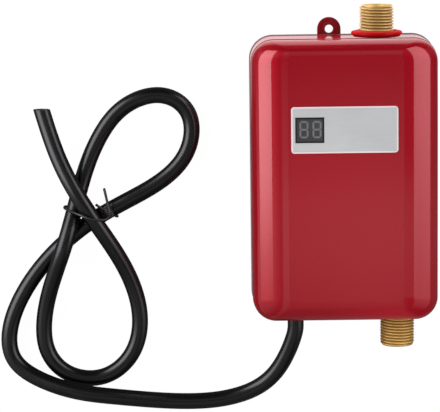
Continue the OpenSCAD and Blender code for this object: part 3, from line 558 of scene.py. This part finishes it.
def knotLine(phase):
    way = Vector(knot["way"]).normalized()
    side = way.cross(Vector((0, 0, 1))).normalized()
    other = way.cross(side)
    count = int(knot["turns"] * knot["steps"])
    line = []
    for k in range(count + 1):
        a = 2 * math.pi * (knot["turns"] * k / count + phase)
        swell = knot["radius"] * (knot["ends"] + (1 - knot["ends"]) * math.sin(math.pi * k / count))
        line.append(Vector(knot["middle"]) + way * knot["long"] * (k / count - 0.5)
                    + swell * (math.cos(a) * side + math.sin(a) * other))
    return line


tieLine = smoothRoute(tie["route"], tie["steps"], tie["radius"], throughPoint)
wireTie = sweep("wireTie", tieLine, tie["radius"], tie["sides"])
tieTwists = [sweep("tieTwist", knotLine(phase), tie["radius"], tie["sides"]) for phase in knot["phases"]]
join([wireTie, *tieTwists], "wireTie")
tieSleeve = rubberSkin("tieSleeve", tint(14, 14, 15), tint(30, 30, 31), 0.42)
finishPiece(wireTie, tieSleeve, "heater", "tie_black", "cord_tie")
print("cord and tie laid")

# front cover: a loft from the rim to the flat face
cover = {
    "width": 113, "height": 172, "depth": 50, "rim": 3.8, "cornerR": 14, "faceR": 3, "side": 22, "top": 8.4,
    "bottom": 14, "roundDepth": 16, "wall": 2.5, "endAngle": 70, "slices": 22, "cornerSteps": 14,
    "stripSide": 3.6, "stripTop": 2.8, "stripBottom": 3.6, "stripDrop": 0.6, "stripShares": (0.08, 0.5, 0.92),
    "soft": 0.3, "stepZ": 30, "step": 0.3, "stepLead": 0.2, "stepSoft": 0.06, "stepRise": 0.3
}
label = {
    "width": 64, "height": 28, "x": -0.8, "y": 33, "thick": 0.6, "sink": 0.3, "cornerR": 2, "cornerSteps": 8,
    "gap": 0.2, "soft": 0.12, "rim": 0.9, "over": 2
}
window = {
    "width": 17, "height": 15, "x": -21.7, "y": 33, "top": 50.3, "floor": 47.5, "gap": 0.2, "frame": 0.8,
    "drop": 0.25, "soft": 0.08, "margin": 0.05, "cut": (44, 54)
}
fitting = {
    "z": 17, "outletX": 20.5, "inletX": 32.7, "threadR": 10.48, "boreR": 7, "pitch": 1.814, "depth": 1.15,
    "outletNeck": 89.7, "inletNeck": 86.5, "outletInner": 60.9, "inletInner": 71.9, "tailR": 8.5,
    "flangeR": 11.98, "flangeEdge": 11.7, "flangeIn": 78.9, "flangeOut": 81.9, "end": 105, "soft": 0.3,
    "neckCut": 0.4, "plainEnd": 1.5, "endRound": [(0.4, 0.9), (0.95, 0.25), (1.2, 0)], "boreEdge": 0.5,
    "rows": 10, "lead": 1.2, "threadIn": 1.3, "threadFrom": 0.05, "sides": 96
}
hole = {"y": 86, "long": 12, "gap": 0.3, "cordR": 6.9, "cordX": -30, "cordZ": 15, "sides": 96}


def coverOutline(share, strip, inset):  # shares of the rounding and of the strip, then mm further in
    c = cover
    r = c["cornerR"] + (c["faceR"] + c["stripSide"] - c["cornerR"]) * share - c["stripSide"] * strip - inset
    x = c["width"] / 2 - (c["side"] - c["stripSide"]) * share - c["stripSide"] * strip - inset - r
    high = c["height"] / 2 - (c["top"] - c["stripTop"]) * share - c["stripTop"] * strip - inset - r
    low = (c["bottom"] - c["stripBottom"]) * share + c["stripBottom"] * strip + inset + r - c["height"] / 2
    spots = []
    for cx, cy, start in ((x, high, 0), (-x, high, 90), (-x, low, 180), (x, low, 270)):
        for k in range(c["cornerSteps"] + 1):
            a = math.radians(start + 90 * k / c["cornerSteps"])
            spots.append((cx + r * math.cos(a), cy + r * math.sin(a)))
    return spots


def coverProfile():  # rim, straight wall, rounding, flat strip, face
    c = cover
    end = math.radians(c["endAngle"])
    low = c["depth"] - c["roundDepth"]
    edge = c["depth"] - c["stripDrop"]
    step, stepZ, soft = c["step"], c["stepZ"], c["stepSoft"]
    spots = [(0, 0, 0, c["rim"]), (0, 0, 0, 0.5 * (c["rim"] + stepZ)), (0, 0, 0, stepZ - c["stepLead"])]
    spots += [  # a fine step in the wall
        (0, 0, soft, stepZ - soft), (0, 0, step, stepZ), (0, 0, step, stepZ + c["stepRise"])
    ]
    for k in range(c["slices"]):
        a = end * k / c["slices"]
        share = (1 - math.cos(a)) / (1 - math.cos(end))
        spots.append((share, 0, step * (1 - share), low + (edge - low) * math.sin(a) / math.sin(end)))
    spots += [(1, t, 0, edge + c["stripDrop"] * t) for t in c["stripShares"]]
    return spots + [(1, 1, c["soft"], c["depth"])]


def makeCover():
    c = cover
    slices = coverProfile()
    deselect()
    rimLine = coverOutline(0, 0, 0)
    bpy.ops.mesh.primitive_circle_add(vertices=len(rimLine), radius=0.05)
    obj = named("coverShell")
    for v, (x, y) in zip(obj.data.vertices, rimLine):
        v.co = (x * mm, y * mm, c["rim"] * mm)
    edit(obj)
    bpy.ops.mesh.select_all(action="SELECT")
    for now, after in zip(slices, slices[1:]):
        old = [(x * mm, y * mm) for x, y in coverOutline(*now[:3])]
        bpy.ops.mesh.extrude_edges_move(TRANSFORM_OT_translate={"value": (0, 0, (after[3] - now[3]) * mm)})
        goal = coverOutline(*after[:3])
        work = bmesh.from_edit_mesh(obj.data)
        for v in work.verts:
            if v.select:
                i = min(range(len(old)), key=lambda k: abs(old[k][0] - v.co.x) + abs(old[k][1] - v.co.y))
                v.co.x, v.co.y = goal[i][0] * mm, goal[i][1] * mm
        bmesh.update_edit_mesh(obj.data)
    bpy.ops.mesh.edge_face_add()
    done(obj)
    outward(obj)
    modify(obj, "SOLIDIFY", thickness=c["wall"] * mm, offset=-1, use_even_offset=True)
    return obj


def roundTool(name, r, at, length):
    deselect()
    bpy.ops.mesh.primitive_cylinder_add(
        vertices=hole["sides"], radius=r * mm, depth=length * mm, location=[v * mm for v in at],
        rotation=(math.pi / 2, 0, 0)
    )
    tool = named(name)
    place(tool)
    return tool


def labelPlate(name, grow, low, high):
    obj = block(
        name, (label["width"] + 2 * grow, label["height"] + 2 * grow, high - low),
        (label["x"], label["y"], (low + high) / 2)
    )
    bevelEdges(obj, lambda e: abs(edgeWay(e).z) > 0.9, label["cornerR"] + grow, label["cornerSteps"])
    return obj


def windowBlock(name, grow, low, high):
    return block(
        name, (window["width"] + 2 * grow, window["height"] + 2 * grow, high - low),
        (window["x"], window["y"], (low + high) / 2)
    )


coverShell = makeCover()
labelLow = cover["depth"] - label["sink"]
cut(coverShell, labelPlate("labelTool", label["gap"], labelLow, cover["depth"] + label["over"]))
cut(coverShell, windowBlock("windowTool", window["gap"], *window["cut"]))
holeR = fitting["threadR"] + hole["gap"]
for name, r, x, y, z in (
    ("outletTool", holeR, fitting["outletX"], hole["y"], fitting["z"]),
    ("inletTool", holeR, fitting["inletX"], -hole["y"], fitting["z"]),
    ("cordTool", hole["cordR"], hole["cordX"], -hole["y"], hole["cordZ"])
):
    cut(coverShell, roundTool(name, r, (x, y, z), hole["long"]))
smooth(coverShell, 28)
modify(coverShell, "WEIGHTED_NORMAL", keep_sharp=True, weight=80)
redLacquer = crimsonLacquer("crimsonLacquer")
finishPiece(coverShell, redLacquer, "heater", "crimson_plastic", "front_cover")
print("front cover lofted,", len(coverShell.data.polygons), "faces")

plate = {"soft": 0.5, "steps": 3, "paintedShade": 0.72}
backPlate = softCopy("rear_cover", "backPlate", plate["soft"], plate["steps"])
# the back plate takes a darker copy of the crimson lacquer: painted shade on the rear cover
shadedBackLacquer = crimsonLacquer("shadedBackLacquer", plate["paintedShade"])
finishPiece(backPlate, shadedBackLacquer, "heater", "crimson_plastic", "rear_cover")
seal = {"soft": 0.05, "notch": (14.4, 3, 6), "at": (-7.8, 87.5, 3.4)}
sealBand = softCopy("casing_seal", "sealBand", seal["soft"], 1)
cut(sealBand, block("sealTool", seal["notch"], seal["at"]))  # flush where the tab passes it
smooth(sealBand, 40)
sealGrey = rubberSkin("sealGrey", tint(120, 120, 120), tint(142, 142, 142), 0.6)
finishPiece(sealBand, sealGrey, "heater", "seal_rubber", "casing_seal")
print("back plate and seal softened")

# label plate, window and digits
digit = {
    "width": 5.4, "height": 10.4, "bar": 1.1, "gap": 0.22, "left": 2.3, "rise": 0.4, "step": 7.8,
    "thick": 0.06, "point": 0.42, "tip": 0.12
}


def labelFinish():
    material, shader, at = newFinish("labelSilver", metallic=0.2)
    x, y = axes(at)[:2]
    edgeX = label["width"] / 2 * mm - at.calc("ABSOLUTE", x - label["x"] * mm, 0)
    edgeY = label["height"] / 2 * mm - at.calc("ABSOLUTE", y - label["y"] * mm, 0)
    # a pale pink band is painted round the label's edge: painted highlight
    rim = edgeX.calc("MINIMUM", edgeX, edgeY) < label["rim"] * mm
    line = grain(at, 1500, 3.0, 0.6, (0.06, 1, 1))
    cloud = grain(at, 60, 2.0)
    face = between(at, line * 0.5 + cloud * 0.5, tint(166, 168, 167), tint(188, 190, 189))
    colour = mixColours(at, rim, face, (*tint(222, 206, 206), 1))
    feed(shader, colour=colour, roughness=0.36 + line * 0.12, normal=bump(at, line, 0.05, 0.00004))
    return material


labelTop = labelLow + label["thick"]


def topEdge(e):  # an outer edge of the label's upper face
    high = all(v.co.z > (labelTop - 0.01) * mm for v in e.verts)
    return high and len(e.link_faces) == 2 and abs(e.link_faces[0].normal.dot(e.link_faces[1].normal)) < 0.2


labelSheet = labelPlate("labelSheet", 0, labelLow, labelTop)
cut(labelSheet, windowBlock("sheetTool", window["gap"], *window["cut"]))
bevelEdges(labelSheet, topEdge, label["soft"], 2)
smooth(labelSheet, 30)
finishPiece(labelSheet, labelFinish(), "heater", "label_silver", "display_label")

pane = windowBlock("displayPane", 0, window["floor"], window["top"])
edit(pane, "FACE")  # a raised frame round a sunken face
pick(pane, "faces", lambda f: f.normal.z > 0.9)
bpy.ops.mesh.inset(thickness=window["frame"] * mm)
bpy.ops.mesh.extrude_region_move(TRANSFORM_OT_translate={"value": (0, 0, -window["drop"] * mm)})
done(pane)
bevelEdges(pane, lambda e: e.is_manifold and e.calc_face_angle() > 1, window["soft"], 2)
smooth(pane, 30)
paneDark = mouldedPlastic("paneDark", tint(46, 47, 48), tint(56, 57, 58), 0.3, 0.05, 3000)
frameBlack = mouldedPlastic("frameBlack", tint(16, 16, 17), tint(22, 22, 23), 0.32, 0.05, 3000)
finishPiece(pane, paneDark, "heater", "window_smoke", "display_window")
pane.data.materials.append(frameBlack)
innerX = (window["width"] / 2 - window["frame"] - window["margin"]) * mm
innerY = (window["height"] / 2 - window["frame"] - window["margin"]) * mm
for face in pane.data.polygons:
    spot = face.center
    inner = abs(spot.x - window["x"] * mm) < innerX and abs(spot.y - window["y"] * mm) < innerY
    face.material_index = 0 if inner else 1


def segmentBar(name, long):
    bar = block(name, (long, digit["bar"], digit["thick"]), (0, 0, 0))
    edit(bar, "FACE")
    pick(bar, "faces", lambda f: abs(f.normal.x) > 0.9)
    bpy.ops.mesh.extrude_faces_move(TRANSFORM_OT_shrink_fatten={"value": digit["bar"] * digit["point"] * mm})
    work = bmesh.from_edit_mesh(bar.data)
    for v in work.verts:
        if abs(v.co.x) > (long / 2 + 0.01) * mm:
            v.co.y *= digit["tip"]
    bmesh.update_edit_mesh(bar.data)
    done(bar)
    return bar


def makeDigits():
    w, h, t = digit["width"] - digit["bar"], (digit["height"] - digit["bar"]) / 2, digit["bar"]
    ends = t * 2 * digit["point"]
    longs = {"flat": w - ends - digit["gap"] * 2, "tall": h - ends - digit["gap"] * 2}
    spots = [("flat", 0, h), ("flat", 0, 0), ("flat", 0, -h), ("tall", -w / 2, h / 2), ("tall", w / 2, h / 2),
             ("tall", -w / 2, -h / 2), ("tall", w / 2, -h / 2)]
    bars = []
    level = window["top"] - window["drop"] + digit["thick"] / 2
    for k in range(2):
        middle = window["x"] - window["width"] / 2 + digit["left"] + digit["width"] / 2 + k * digit["step"]
        for kind, dx, dy in spots:
            bar = segmentBar("bar", longs[kind])
            if kind == "tall":
                bar.rotation_euler.z = math.pi / 2
            bar.location = ((middle + dx) * mm, (window["y"] + digit["rise"] + dy) * mm, level * mm)
            place(bar)
            bars.append(bar)
    return join(bars, "digitBars")


digits = makeDigits()
segmentGrey = mouldedPlastic("segmentGrey", tint(90, 91, 90), tint(104, 105, 104), 0.42, 0.04, 3000)
finishPiece(digits, segmentGrey, "heater", "display_black")
print("label, window and digits made")

# brass fittings with their pipe threads
thread = {"flat": 0.56, "swing": 0.62, "round": 0.96}


def threadWave(phase):  # 0 at the root, 1 at the flat crest
    swing = math.asin(thread["round"] * math.cos(2 * math.pi * phase)) / math.asin(thread["round"])
    return min(1, max(0, thread["flat"] + thread["swing"] * swing))


def makeFitting(name, side, way):
    f = fitting
    x, neckEnd, inner = f[side + "X"], f[side + "Neck"], f[side + "Inner"]
    r, bore, tail, soft, end = f["threadR"], f["boreR"], f["tailR"], f["soft"], f["end"]
    neck, flangeIn, flangeOut = r - f["neckCut"], f["flangeIn"], f["flangeOut"]
    profile = [
        (bore, inner + soft), (bore + soft, inner), (tail - soft, inner), (tail, inner + soft),
        (tail, flangeIn), (f["flangeEdge"], flangeIn), (f["flangeR"], flangeIn + soft),
        (f["flangeR"], flangeOut - soft), (f["flangeEdge"], flangeOut), (neck, flangeOut), (neck, neckEnd),
        (r, neckEnd + soft)
    ]
    first, last = neckEnd + soft, end - f["plainEnd"]
    rows = int((last - first) / f["pitch"] * f["rows"])
    profile += [(r, first + (last - first) * (k + 1) / rows) for k in range(rows)]
    profile += [(r - less, end - back) for less, back in f["endRound"]]
    profile += [(bore + f["boreEdge"], end), (bore, end - f["boreEdge"])]
    obj = lathe(name, profile, (x, 0, f["z"]), way, f["sides"])
    # crest runs from 0 in a thread root to 1 on a crest; the brass uses it for painted shade in the roots
    crest = obj.data.attributes.new("crest", "FLOAT", "POINT")
    for v in obj.data.vertices:  # cut the thread into the plain stretch
        crest.data[v.index].value = 1
        along = abs(v.co.y) / mm
        out = Vector((v.co.x - x * mm, 0, v.co.z - f["z"] * mm))
        far = out.length / mm
        if far > r - f["threadIn"] and along > neckEnd + f["threadFrom"]:
            turn = math.atan2(out.z, out.x) / (2 * math.pi)
            wave = threadWave((along - neckEnd) / f["pitch"] - way * turn)
            start = min(1, max(0, (along - neckEnd) / f["lead"]))
            goal = min(far, r - f["depth"] * (1 - wave) * start)
            out *= goal / far
            v.co.x, v.co.z = x * mm + out.x, f["z"] * mm + out.z
            crest.data[v.index].value = 1 - (1 - wave) * start
    smooth(obj, 60)
    return obj


def turnedBrass():
    material, shader, at = newFinish("turnedBrass", metallic=0.5)
    line = grain(at, 1100, 4.0, 0.6, (0.05, 1, 0.05))
    patch = grain(at, 70, 3.0)
    crest = at.add("ShaderNodeAttribute", {"attribute_name": "crest"}, out="Fac")
    bright = between(at, patch * 0.7 + line * 0.3, (0.53, 0.335, 0.084), (0.74, 0.508, 0.178))
    # the thread roots are painted darker than the crests: painted shade in the grooves
    root = between(at, patch, (0.25, 0.126, 0.025), (0.33, 0.175, 0.042))
    feed(
        shader,
        colour=mixColours(at, crest, root, bright),
        roughness=0.34 + patch * 0.1 + line * 0.08,
        normal=bump(at, line, 0.06, 0.00004)
    )
    return material


brass = turnedBrass()
outletFitting = makeFitting("outletFitting", "outlet", 1)
inletFitting = makeFitting("inletFitting", "inlet", -1)
finishPiece(outletFitting, brass, "heater", "fitting_brass", "outlet_fitting")
finishPiece(inletFitting, brass, "heater", "fitting_brass", "inlet_fitting")

# ring: a bead on a short neck
ring = {
    "outer": 15.6, "inner": 10.68, "low": 86, "neck": 14.3, "lip": 0.2, "bead": 88.0, "edge": 1.25,
    "top": 90.1, "soft": 0.3, "dip": 0.1, "steps": 12, "sides": 128
}
rimX = ring["outer"] - ring["edge"]
rise, run = ring["top"] - ring["bead"], rimX - ring["inner"]
lean = math.degrees(math.atan2(rise, run) - math.asin(ring["edge"] / math.hypot(rise, run)))
rimEdge = []
for k in range(ring["steps"] + 1):
    a = math.radians(-90 + (180 - lean) * k / ring["steps"])
    rimEdge.append((rimX + ring["edge"] * math.cos(a), ring["bead"] + ring["edge"] * math.sin(a)))
ringProfile = [
    (ring["inner"], ring["low"]), (ring["neck"] - ring["lip"], ring["low"]),
    (ring["neck"], ring["low"] + ring["lip"]), *rimEdge,
    (ring["inner"] + ring["soft"], ring["top"] - ring["dip"]), (ring["inner"], ring["top"] - ring["soft"])
]
hotRing = lathe("hotRing", ringProfile, (fitting["outletX"], 0, fitting["z"]), 1, ring["sides"])
smooth(hotRing, 50)
ringRed = mouldedPlastic("ringRed", tint(152, 7, 9), tint(168, 15, 14), 0.34, 0.05, 2600, 0.14, 0.0)
finishPiece(hotRing, ringRed, "heater", "ring_red", "outlet_ring")
for piece in (outletFitting, hotRing):
    piece.visible_glossy = False  # the wall below shows the floor's white, as in the photograph
print("fittings threaded, ring turned")

# back screws with a cross recess, and the cord's grommet
screw = {
    "places": [(-51, -68), (51, -68), (-51, 68), (51, 68)], "headR": 3.0, "head": 0.3, "cone": 1.5,
    "stemR": 1.2, "low": 0.2, "long": 14, "tip": 0.8, "tipShare": 0.4, "slot": (3.4, 0.75, 1.6), "soft": 0.06,
    "turn": (0.031, 0.013)
}


def makeScrew():
    deselect()
    bpy.ops.mesh.primitive_cylinder_add(
        vertices=48, radius=screw["headR"] * mm, depth=screw["head"] * mm,
        location=(0, 0, (screw["low"] + screw["head"] / 2) * mm)
    )
    obj = named("backScrews")
    place(obj)
    edit(obj, "FACE")
    pick(obj, "faces", lambda f: f.normal.z > 0.9)
    stem = screw["long"] - screw["head"] - screw["cone"] - screw["tip"]
    for grow, rise in (
        (screw["stemR"] / screw["headR"], screw["cone"]), (1, stem), (screw["tipShare"], screw["tip"])
    ):
        bpy.ops.mesh.extrude_region_move(TRANSFORM_OT_translate={"value": (0, 0, rise * mm)})
        bpy.ops.transform.resize(value=(grow, grow, 1), center_override=(0, 0, 0))
    done(obj)
    for turn in (0, math.pi / 2):
        tool = block("slotTool", screw["slot"], (0, 0, screw["low"]))
        tool.rotation_euler.z = turn
        place(tool)
        cut(obj, tool)
    roundEdges(obj, screw["soft"], 2, 40)
    smooth(obj, 40)
    return obj


def makeScrews():
    first = makeScrew()
    copies = []
    for x, y in screw["places"]:
        one = first.copy()
        one.data = first.data.copy()
        scene.collection.objects.link(one)
        one.location = (x * mm, y * mm, 0)
        one.rotation_euler.z = x * screw["turn"][0] + y * screw["turn"][1]
        place(one)
        copies.append(one)
    activate(first)
    bpy.ops.object.delete()
    return join(copies, "backScrews")


backScrews = makeScrews()
zincSteel = brushedMetal("zincSteel", (0.42, 0.42, 0.43), (0.62, 0.62, 0.63), 0.32, (1, 1, 1), 600)
finishPiece(backScrews, zincSteel, "heater", "screw_steel", "casing_screws")
grommet = softCopy("cord_grommet", "grommet", 0.4, 3)
blackRubber = rubberSkin("blackRubber", tint(22, 22, 22), tint(34, 34, 34), 0.55)
finishPiece(grommet, blackRubber, "heater", "washer_rubber", "cord_grommet")
print("screws and grommet made")

# finishes for the solids that stay as they are
ivory = mouldedPlastic("ivoryPlastic", (0.66, 0.63, 0.54), (0.76, 0.73, 0.65), 0.45)
darkParts = mouldedPlastic("darkParts", (0.03, 0.03, 0.034), (0.06, 0.06, 0.065), 0.5)
stainless = brushedMetal("stainless", (0.48, 0.49, 0.50), (0.66, 0.67, 0.68), 0.3, (1, 0.05, 1))
dullSteel = brushedMetal("dullSteel", (0.26, 0.25, 0.24), (0.40, 0.39, 0.37), 0.45, (1, 0.1, 1))
solidFinishes = {
    "display_module": darkParts,
    "control_board": mouldedPlastic("boardGreen", (0.012, 0.11, 0.035), (0.03, 0.2, 0.07), 0.35),
    "board_parts": darkParts,
    "board_screws": zincSteel,
    "fitting_washers": blackRubber,
    "inlet_filter": stainless,
    "flow_housing": ivory,
    "flow_piston": mouldedPlastic("pistonWhite", (0.72, 0.72, 0.7), (0.82, 0.82, 0.8), 0.4),
    "piston_magnet": brushedMetal("magnetGrey", (0.1, 0.1, 0.11), (0.18, 0.18, 0.19), 0.4, (1, 1, 1)),
    "reed_switch": mouldedPlastic("reedGlass", (0.55, 0.68, 0.62), (0.65, 0.76, 0.7), 0.12, 0.02),
    "heating_tank": stainless,
    "inlet_cap": darkParts,
    "outlet_cap": darkParts,
    "heating_element": dullSteel,
    "temperature_probe": stainless,
    "tank_straps": stainless,
    "strap_screws": zincSteel,
    "cooling_saddle": brushedMetal(
        "saddleAluminium", (0.6, 0.61, 0.62), (0.74, 0.75, 0.76), 0.34, (1, 0.05, 1)
    ),
    "thermal_cutout": mouldedPlastic("cutoutBrown", (0.15, 0.065, 0.03), (0.23, 0.1, 0.045), 0.42),
    "power_triac": darkParts,
    "cord_tail": cordRubber,
    "cord_clamp": ivory,
    "clamp_screws": zincSteel,
    "terminal_block": mouldedPlastic("terminalWhite", (0.74, 0.74, 0.71), (0.84, 0.84, 0.81), 0.42),
    "live_core": rubberSkin("coreBrown", (0.13, 0.045, 0.015), (0.19, 0.07, 0.025)),
    "neutral_core": rubberSkin("coreBlue", (0.02, 0.09, 0.38), (0.04, 0.14, 0.5)),
    "earth_core": rubberSkin("coreGreen", (0.3, 0.44, 0.03), (0.42, 0.56, 0.06)),
    "heater_leads": rubberSkin("leadWhite", (0.72, 0.72, 0.7), (0.84, 0.84, 0.82)),
    "sensor_leads": rubberSkin("leadRed", (0.45, 0.02, 0.02), (0.6, 0.035, 0.03)),
}
for node, material in solidFinishes.items():
    solid = cadNodes[node]
    solid.data.materials.clear()
    solid.data.materials.append(material)
print("solids finished:", len(solidFinishes))

# return spring of the flow switch, pressed together as the piston slides
spring = {
    "x": 0.0327, "z": 0.017, "low": -0.0611, "high": -0.0511, "radius": 0.0057, "wire": 0.0004, "turns": 6,
    "steps": 24, "sides": 10, "keep": 0.53
}
coilLine = []
coilSteps = spring["steps"] * spring["turns"]
for k in range(coilSteps + 1):
    a = 2 * math.pi * spring["turns"] * k / coilSteps
    coilLine.append(Vector((
        spring["x"] + spring["radius"] * math.cos(a),
        spring["low"] + (spring["high"] - spring["low"]) * k / coilSteps,
        spring["z"] + spring["radius"] * math.sin(a)
    )))
returnSpring = sweep("returnSpring", coilLine, spring["wire"], spring["sides"])
finishPiece(returnSpring, stainless, "heater", "spring_steel", "piston_spring")
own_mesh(returnSpring)
print("return spring wound")

# floor, light and background
studio = {
    "floor": 0.5, "glossShadeFloor": 0.1, "white": 0.92, "strength": 1.06, "floorAt": (-0.07, -0.015, 0),
    "floorSize": (0.34, 0.32, 1), "glossShade": 0.05, "dimY": (0.02, 0.08), "dimX": (0.09, 0.06),
    "panelTint": (1, 0.975, 1.03), "skyGain": 1.3,
    "skyY": [(0.0, 0.2), (0.1, 0.3), (0.25, 0.5), (0.36, 0.56), (0.403, 0.6), (0.4125, 0.82), (0.4223, 0.8),
             (0.432, 0.5), (0.444, 0.38), (0.4528, 0.16), (0.48, 0.08), (0.6, 0.3), (0.66, 0.57),
             (0.73, 0.57), (0.8, 0.1), (0.9, 0.02), (1.0, 0.02)],
    "skyX": [(0.0, 0.9), (0.155, 0.9), (0.225, 0.5), (0.285, 0.28), (0.3, 0.3), (0.325, 1.0), (0.375, 1.0),
             (0.43, 0.5), (0.512, 0.6), (0.53, 0.77), (0.6, 0.77), (0.66, 0.4), (0.69, 0.2), (0.8, 0.12),
             (1.0, 0.3)],
    "stripY": [(0.0, 0.0), (0.37, 0.0), (0.39, 1.0), (0.424, 1.0), (0.434, 0.0), (1.0, 0.0)],
    "stripX": [(0.0, 0.0), (0.6, 0.0), (0.66, 0.25), (0.69, 0.42), (0.8, 0.42), (0.87, 0.0), (1.0, 0.0)]
}


def floorFinish():
    material, shader, at = newFinish("paleFloor", roughness=0.9, specular=0.1)
    tree = material.node_tree
    owner = at.add("ShaderNodeLightPath").socket.node
    rays = ("Is Camera Ray", "Is Glossy Ray", "Is Transmission Ray")
    seen, glossy, clear = [Wire(tree, owner.outputs[ray]) for ray in rays]
    x, y = axes(at)[:2]
    white = 1.0  # what gloss sees: white only beyond the outlet end; nearer the heater the floor is painted dark for glossy rays, painted shade in the reflections
    for value, (low, high) in ((y, studio["dimY"]), (x.calc("ABSOLUTE", x, 0), studio["dimX"])):
        white = white * at.add(
            "ShaderNodeMapRange", {"interpolation_type": "SMOOTHSTEP"},
            {"Value": value, "From Min": low, "From Max": high, "To Min": studio["glossShade"], "To Max": 1.0}
        )
    show = seen.calc("MAXIMUM", seen.calc("MAXIMUM", seen, clear), glossy * white)
    # for glossy rays the floor's own colour is painted darker too: painted shade in the reflections
    feed(shader, colour=studio["floor"] - glossy * (studio["floor"] - studio["glossShadeFloor"]))
    light = at.add("ShaderNodeEmission", {}, {"Color": (1, 1, 1, 1), "Strength": studio["strength"]})
    surface = Wire(tree, shader.outputs[0])
    mixed = at.add("ShaderNodeMixShader", {}, {0: show * studio["white"], 1: surface, 2: light})
    tree.links.new(mixed.socket, tree.nodes["Material Output"].inputs["Surface"])
    return material


deselect()
bpy.ops.mesh.primitive_plane_add(size=1, location=studio["floorAt"])
floor = named("paleFloor")
floor.scale = studio["floorSize"]
place(floor)
floor.data.materials.append(floorFinish())


def panel(name, at, aim, size, energy):
    deselect()
    bpy.ops.object.light_add(type="AREA", location=at)
    lamp = named(name)
    lamp.data.shape = "RECTANGLE"
    lamp.data.size, lamp.data.size_y = size
    lamp.data.energy = energy
    lamp.rotation_euler = (Vector(aim) - Vector(at)).to_track_quat("-Z", "Y").to_euler()
    return lamp


def fade(lamp, stops):  # dims the panel along Y
    lamp.data.use_nodes = True
    tree = lamp.data.node_tree
    wire = Wire(tree)
    spot = axes(wire.add("ShaderNodeNewGeometry", out="Position"))[1]
    shade = greyRamp(wire, spot * 0.5 + 0.5, [(0.5 + 0.5 * y, v) for y, v in stops])
    tree.links.new(shade.socket, tree.nodes["Emission"].inputs["Strength"])


for name, at, aim, size, energy, stops in (  # the bands of light along the sides
    ("leftPanel", (-0.725, 0.25, 0.375), (-0.045, 0.25, 0.075), (1.1, 0.57), 9.9,
     [(-0.3, 0.0), (-0.235, 0.04), (-0.18, 0.25), (-0.1, 0.85), (-0.05, 1.0)]),
    ("rightPanel", (0.695, 0.15, 0.438), (0.045, 0.15, 0.107), (2.1, 0.662), 13.9,
     [(-0.9, 0.0), (-0.45, 0.17), (-0.3, 0.24), (-0.213, 0.36), (-0.13, 0.6), (-0.06, 0.85), (0.02, 1.0)])
):
    band = panel(name, at, aim, size, energy)
    band.data.color = studio["panelTint"]
    fade(band, stops)
for name, at, aim, size, energy in (  # these fill the colours, not the gloss
    ("facePanel", (0, -0.03, 0.2), (0, -0.03, 0), (0.14, 0.06), 0.098),
    ("upperFill", (0, 0.75, 0.14), (0, 0.09, 0.04), (0.8, 0.2), 1.0),
    ("upperBounce", (-0.047, 0.128, 0.007), (-0.047, 0.118, 0.04), (0.1, 0.04), 0.1),
    ("cornerBounce", (0.075, 0.128, 0.007), (0.075, 0.118, 0.04), (0.07, 0.04), 0.07),
    ("lowerFill", (0, -0.65, 0.14), (0, -0.09, 0.04), (0.8, 0.2), 0.8),
    ("inletFill", (0.035, -0.145, 0.065), (0.033, -0.098, 0.02), (0.03, 0.02), 0.032)
):
    fill = panel(name, at, aim, size, energy)
    fill.visible_glossy = False
    fill.visible_camera = False
world = bpy.data.worlds.new("studioSky")
scene.world = world
world.use_nodes = True
skyTree = world.node_tree
skyWire = Wire(skyTree)
skySeen = Wire(skyTree, skyWire.add("ShaderNodeLightPath").socket.node.outputs["Is Camera Ray"])
skyX, skyY = axes(skyWire.add("ShaderNodeTexCoord", out="Generated"))[:2]
spotX, spotY = skyX * 0.5 + 0.5, skyY * 0.5 + 0.5
strip = greyRamp(skyWire, spotX, studio["stripX"]) * greyRamp(skyWire, spotY, studio["stripY"])
skyAcross = greyRamp(skyWire, spotX, studio["skyX"]) + strip  # the strip lights the right rounding low down
skyGlow = greyRamp(skyWire, spotY, studio["skyY"]) * skyAcross * studio["skyGain"]
background = skyTree.nodes["Background"]
background.inputs["Color"].default_value = (1, 1, 1, 1)
skyTree.links.new((skyGlow + skySeen * (1 - skyGlow)).socket, background.inputs["Strength"])
print("studio lit")
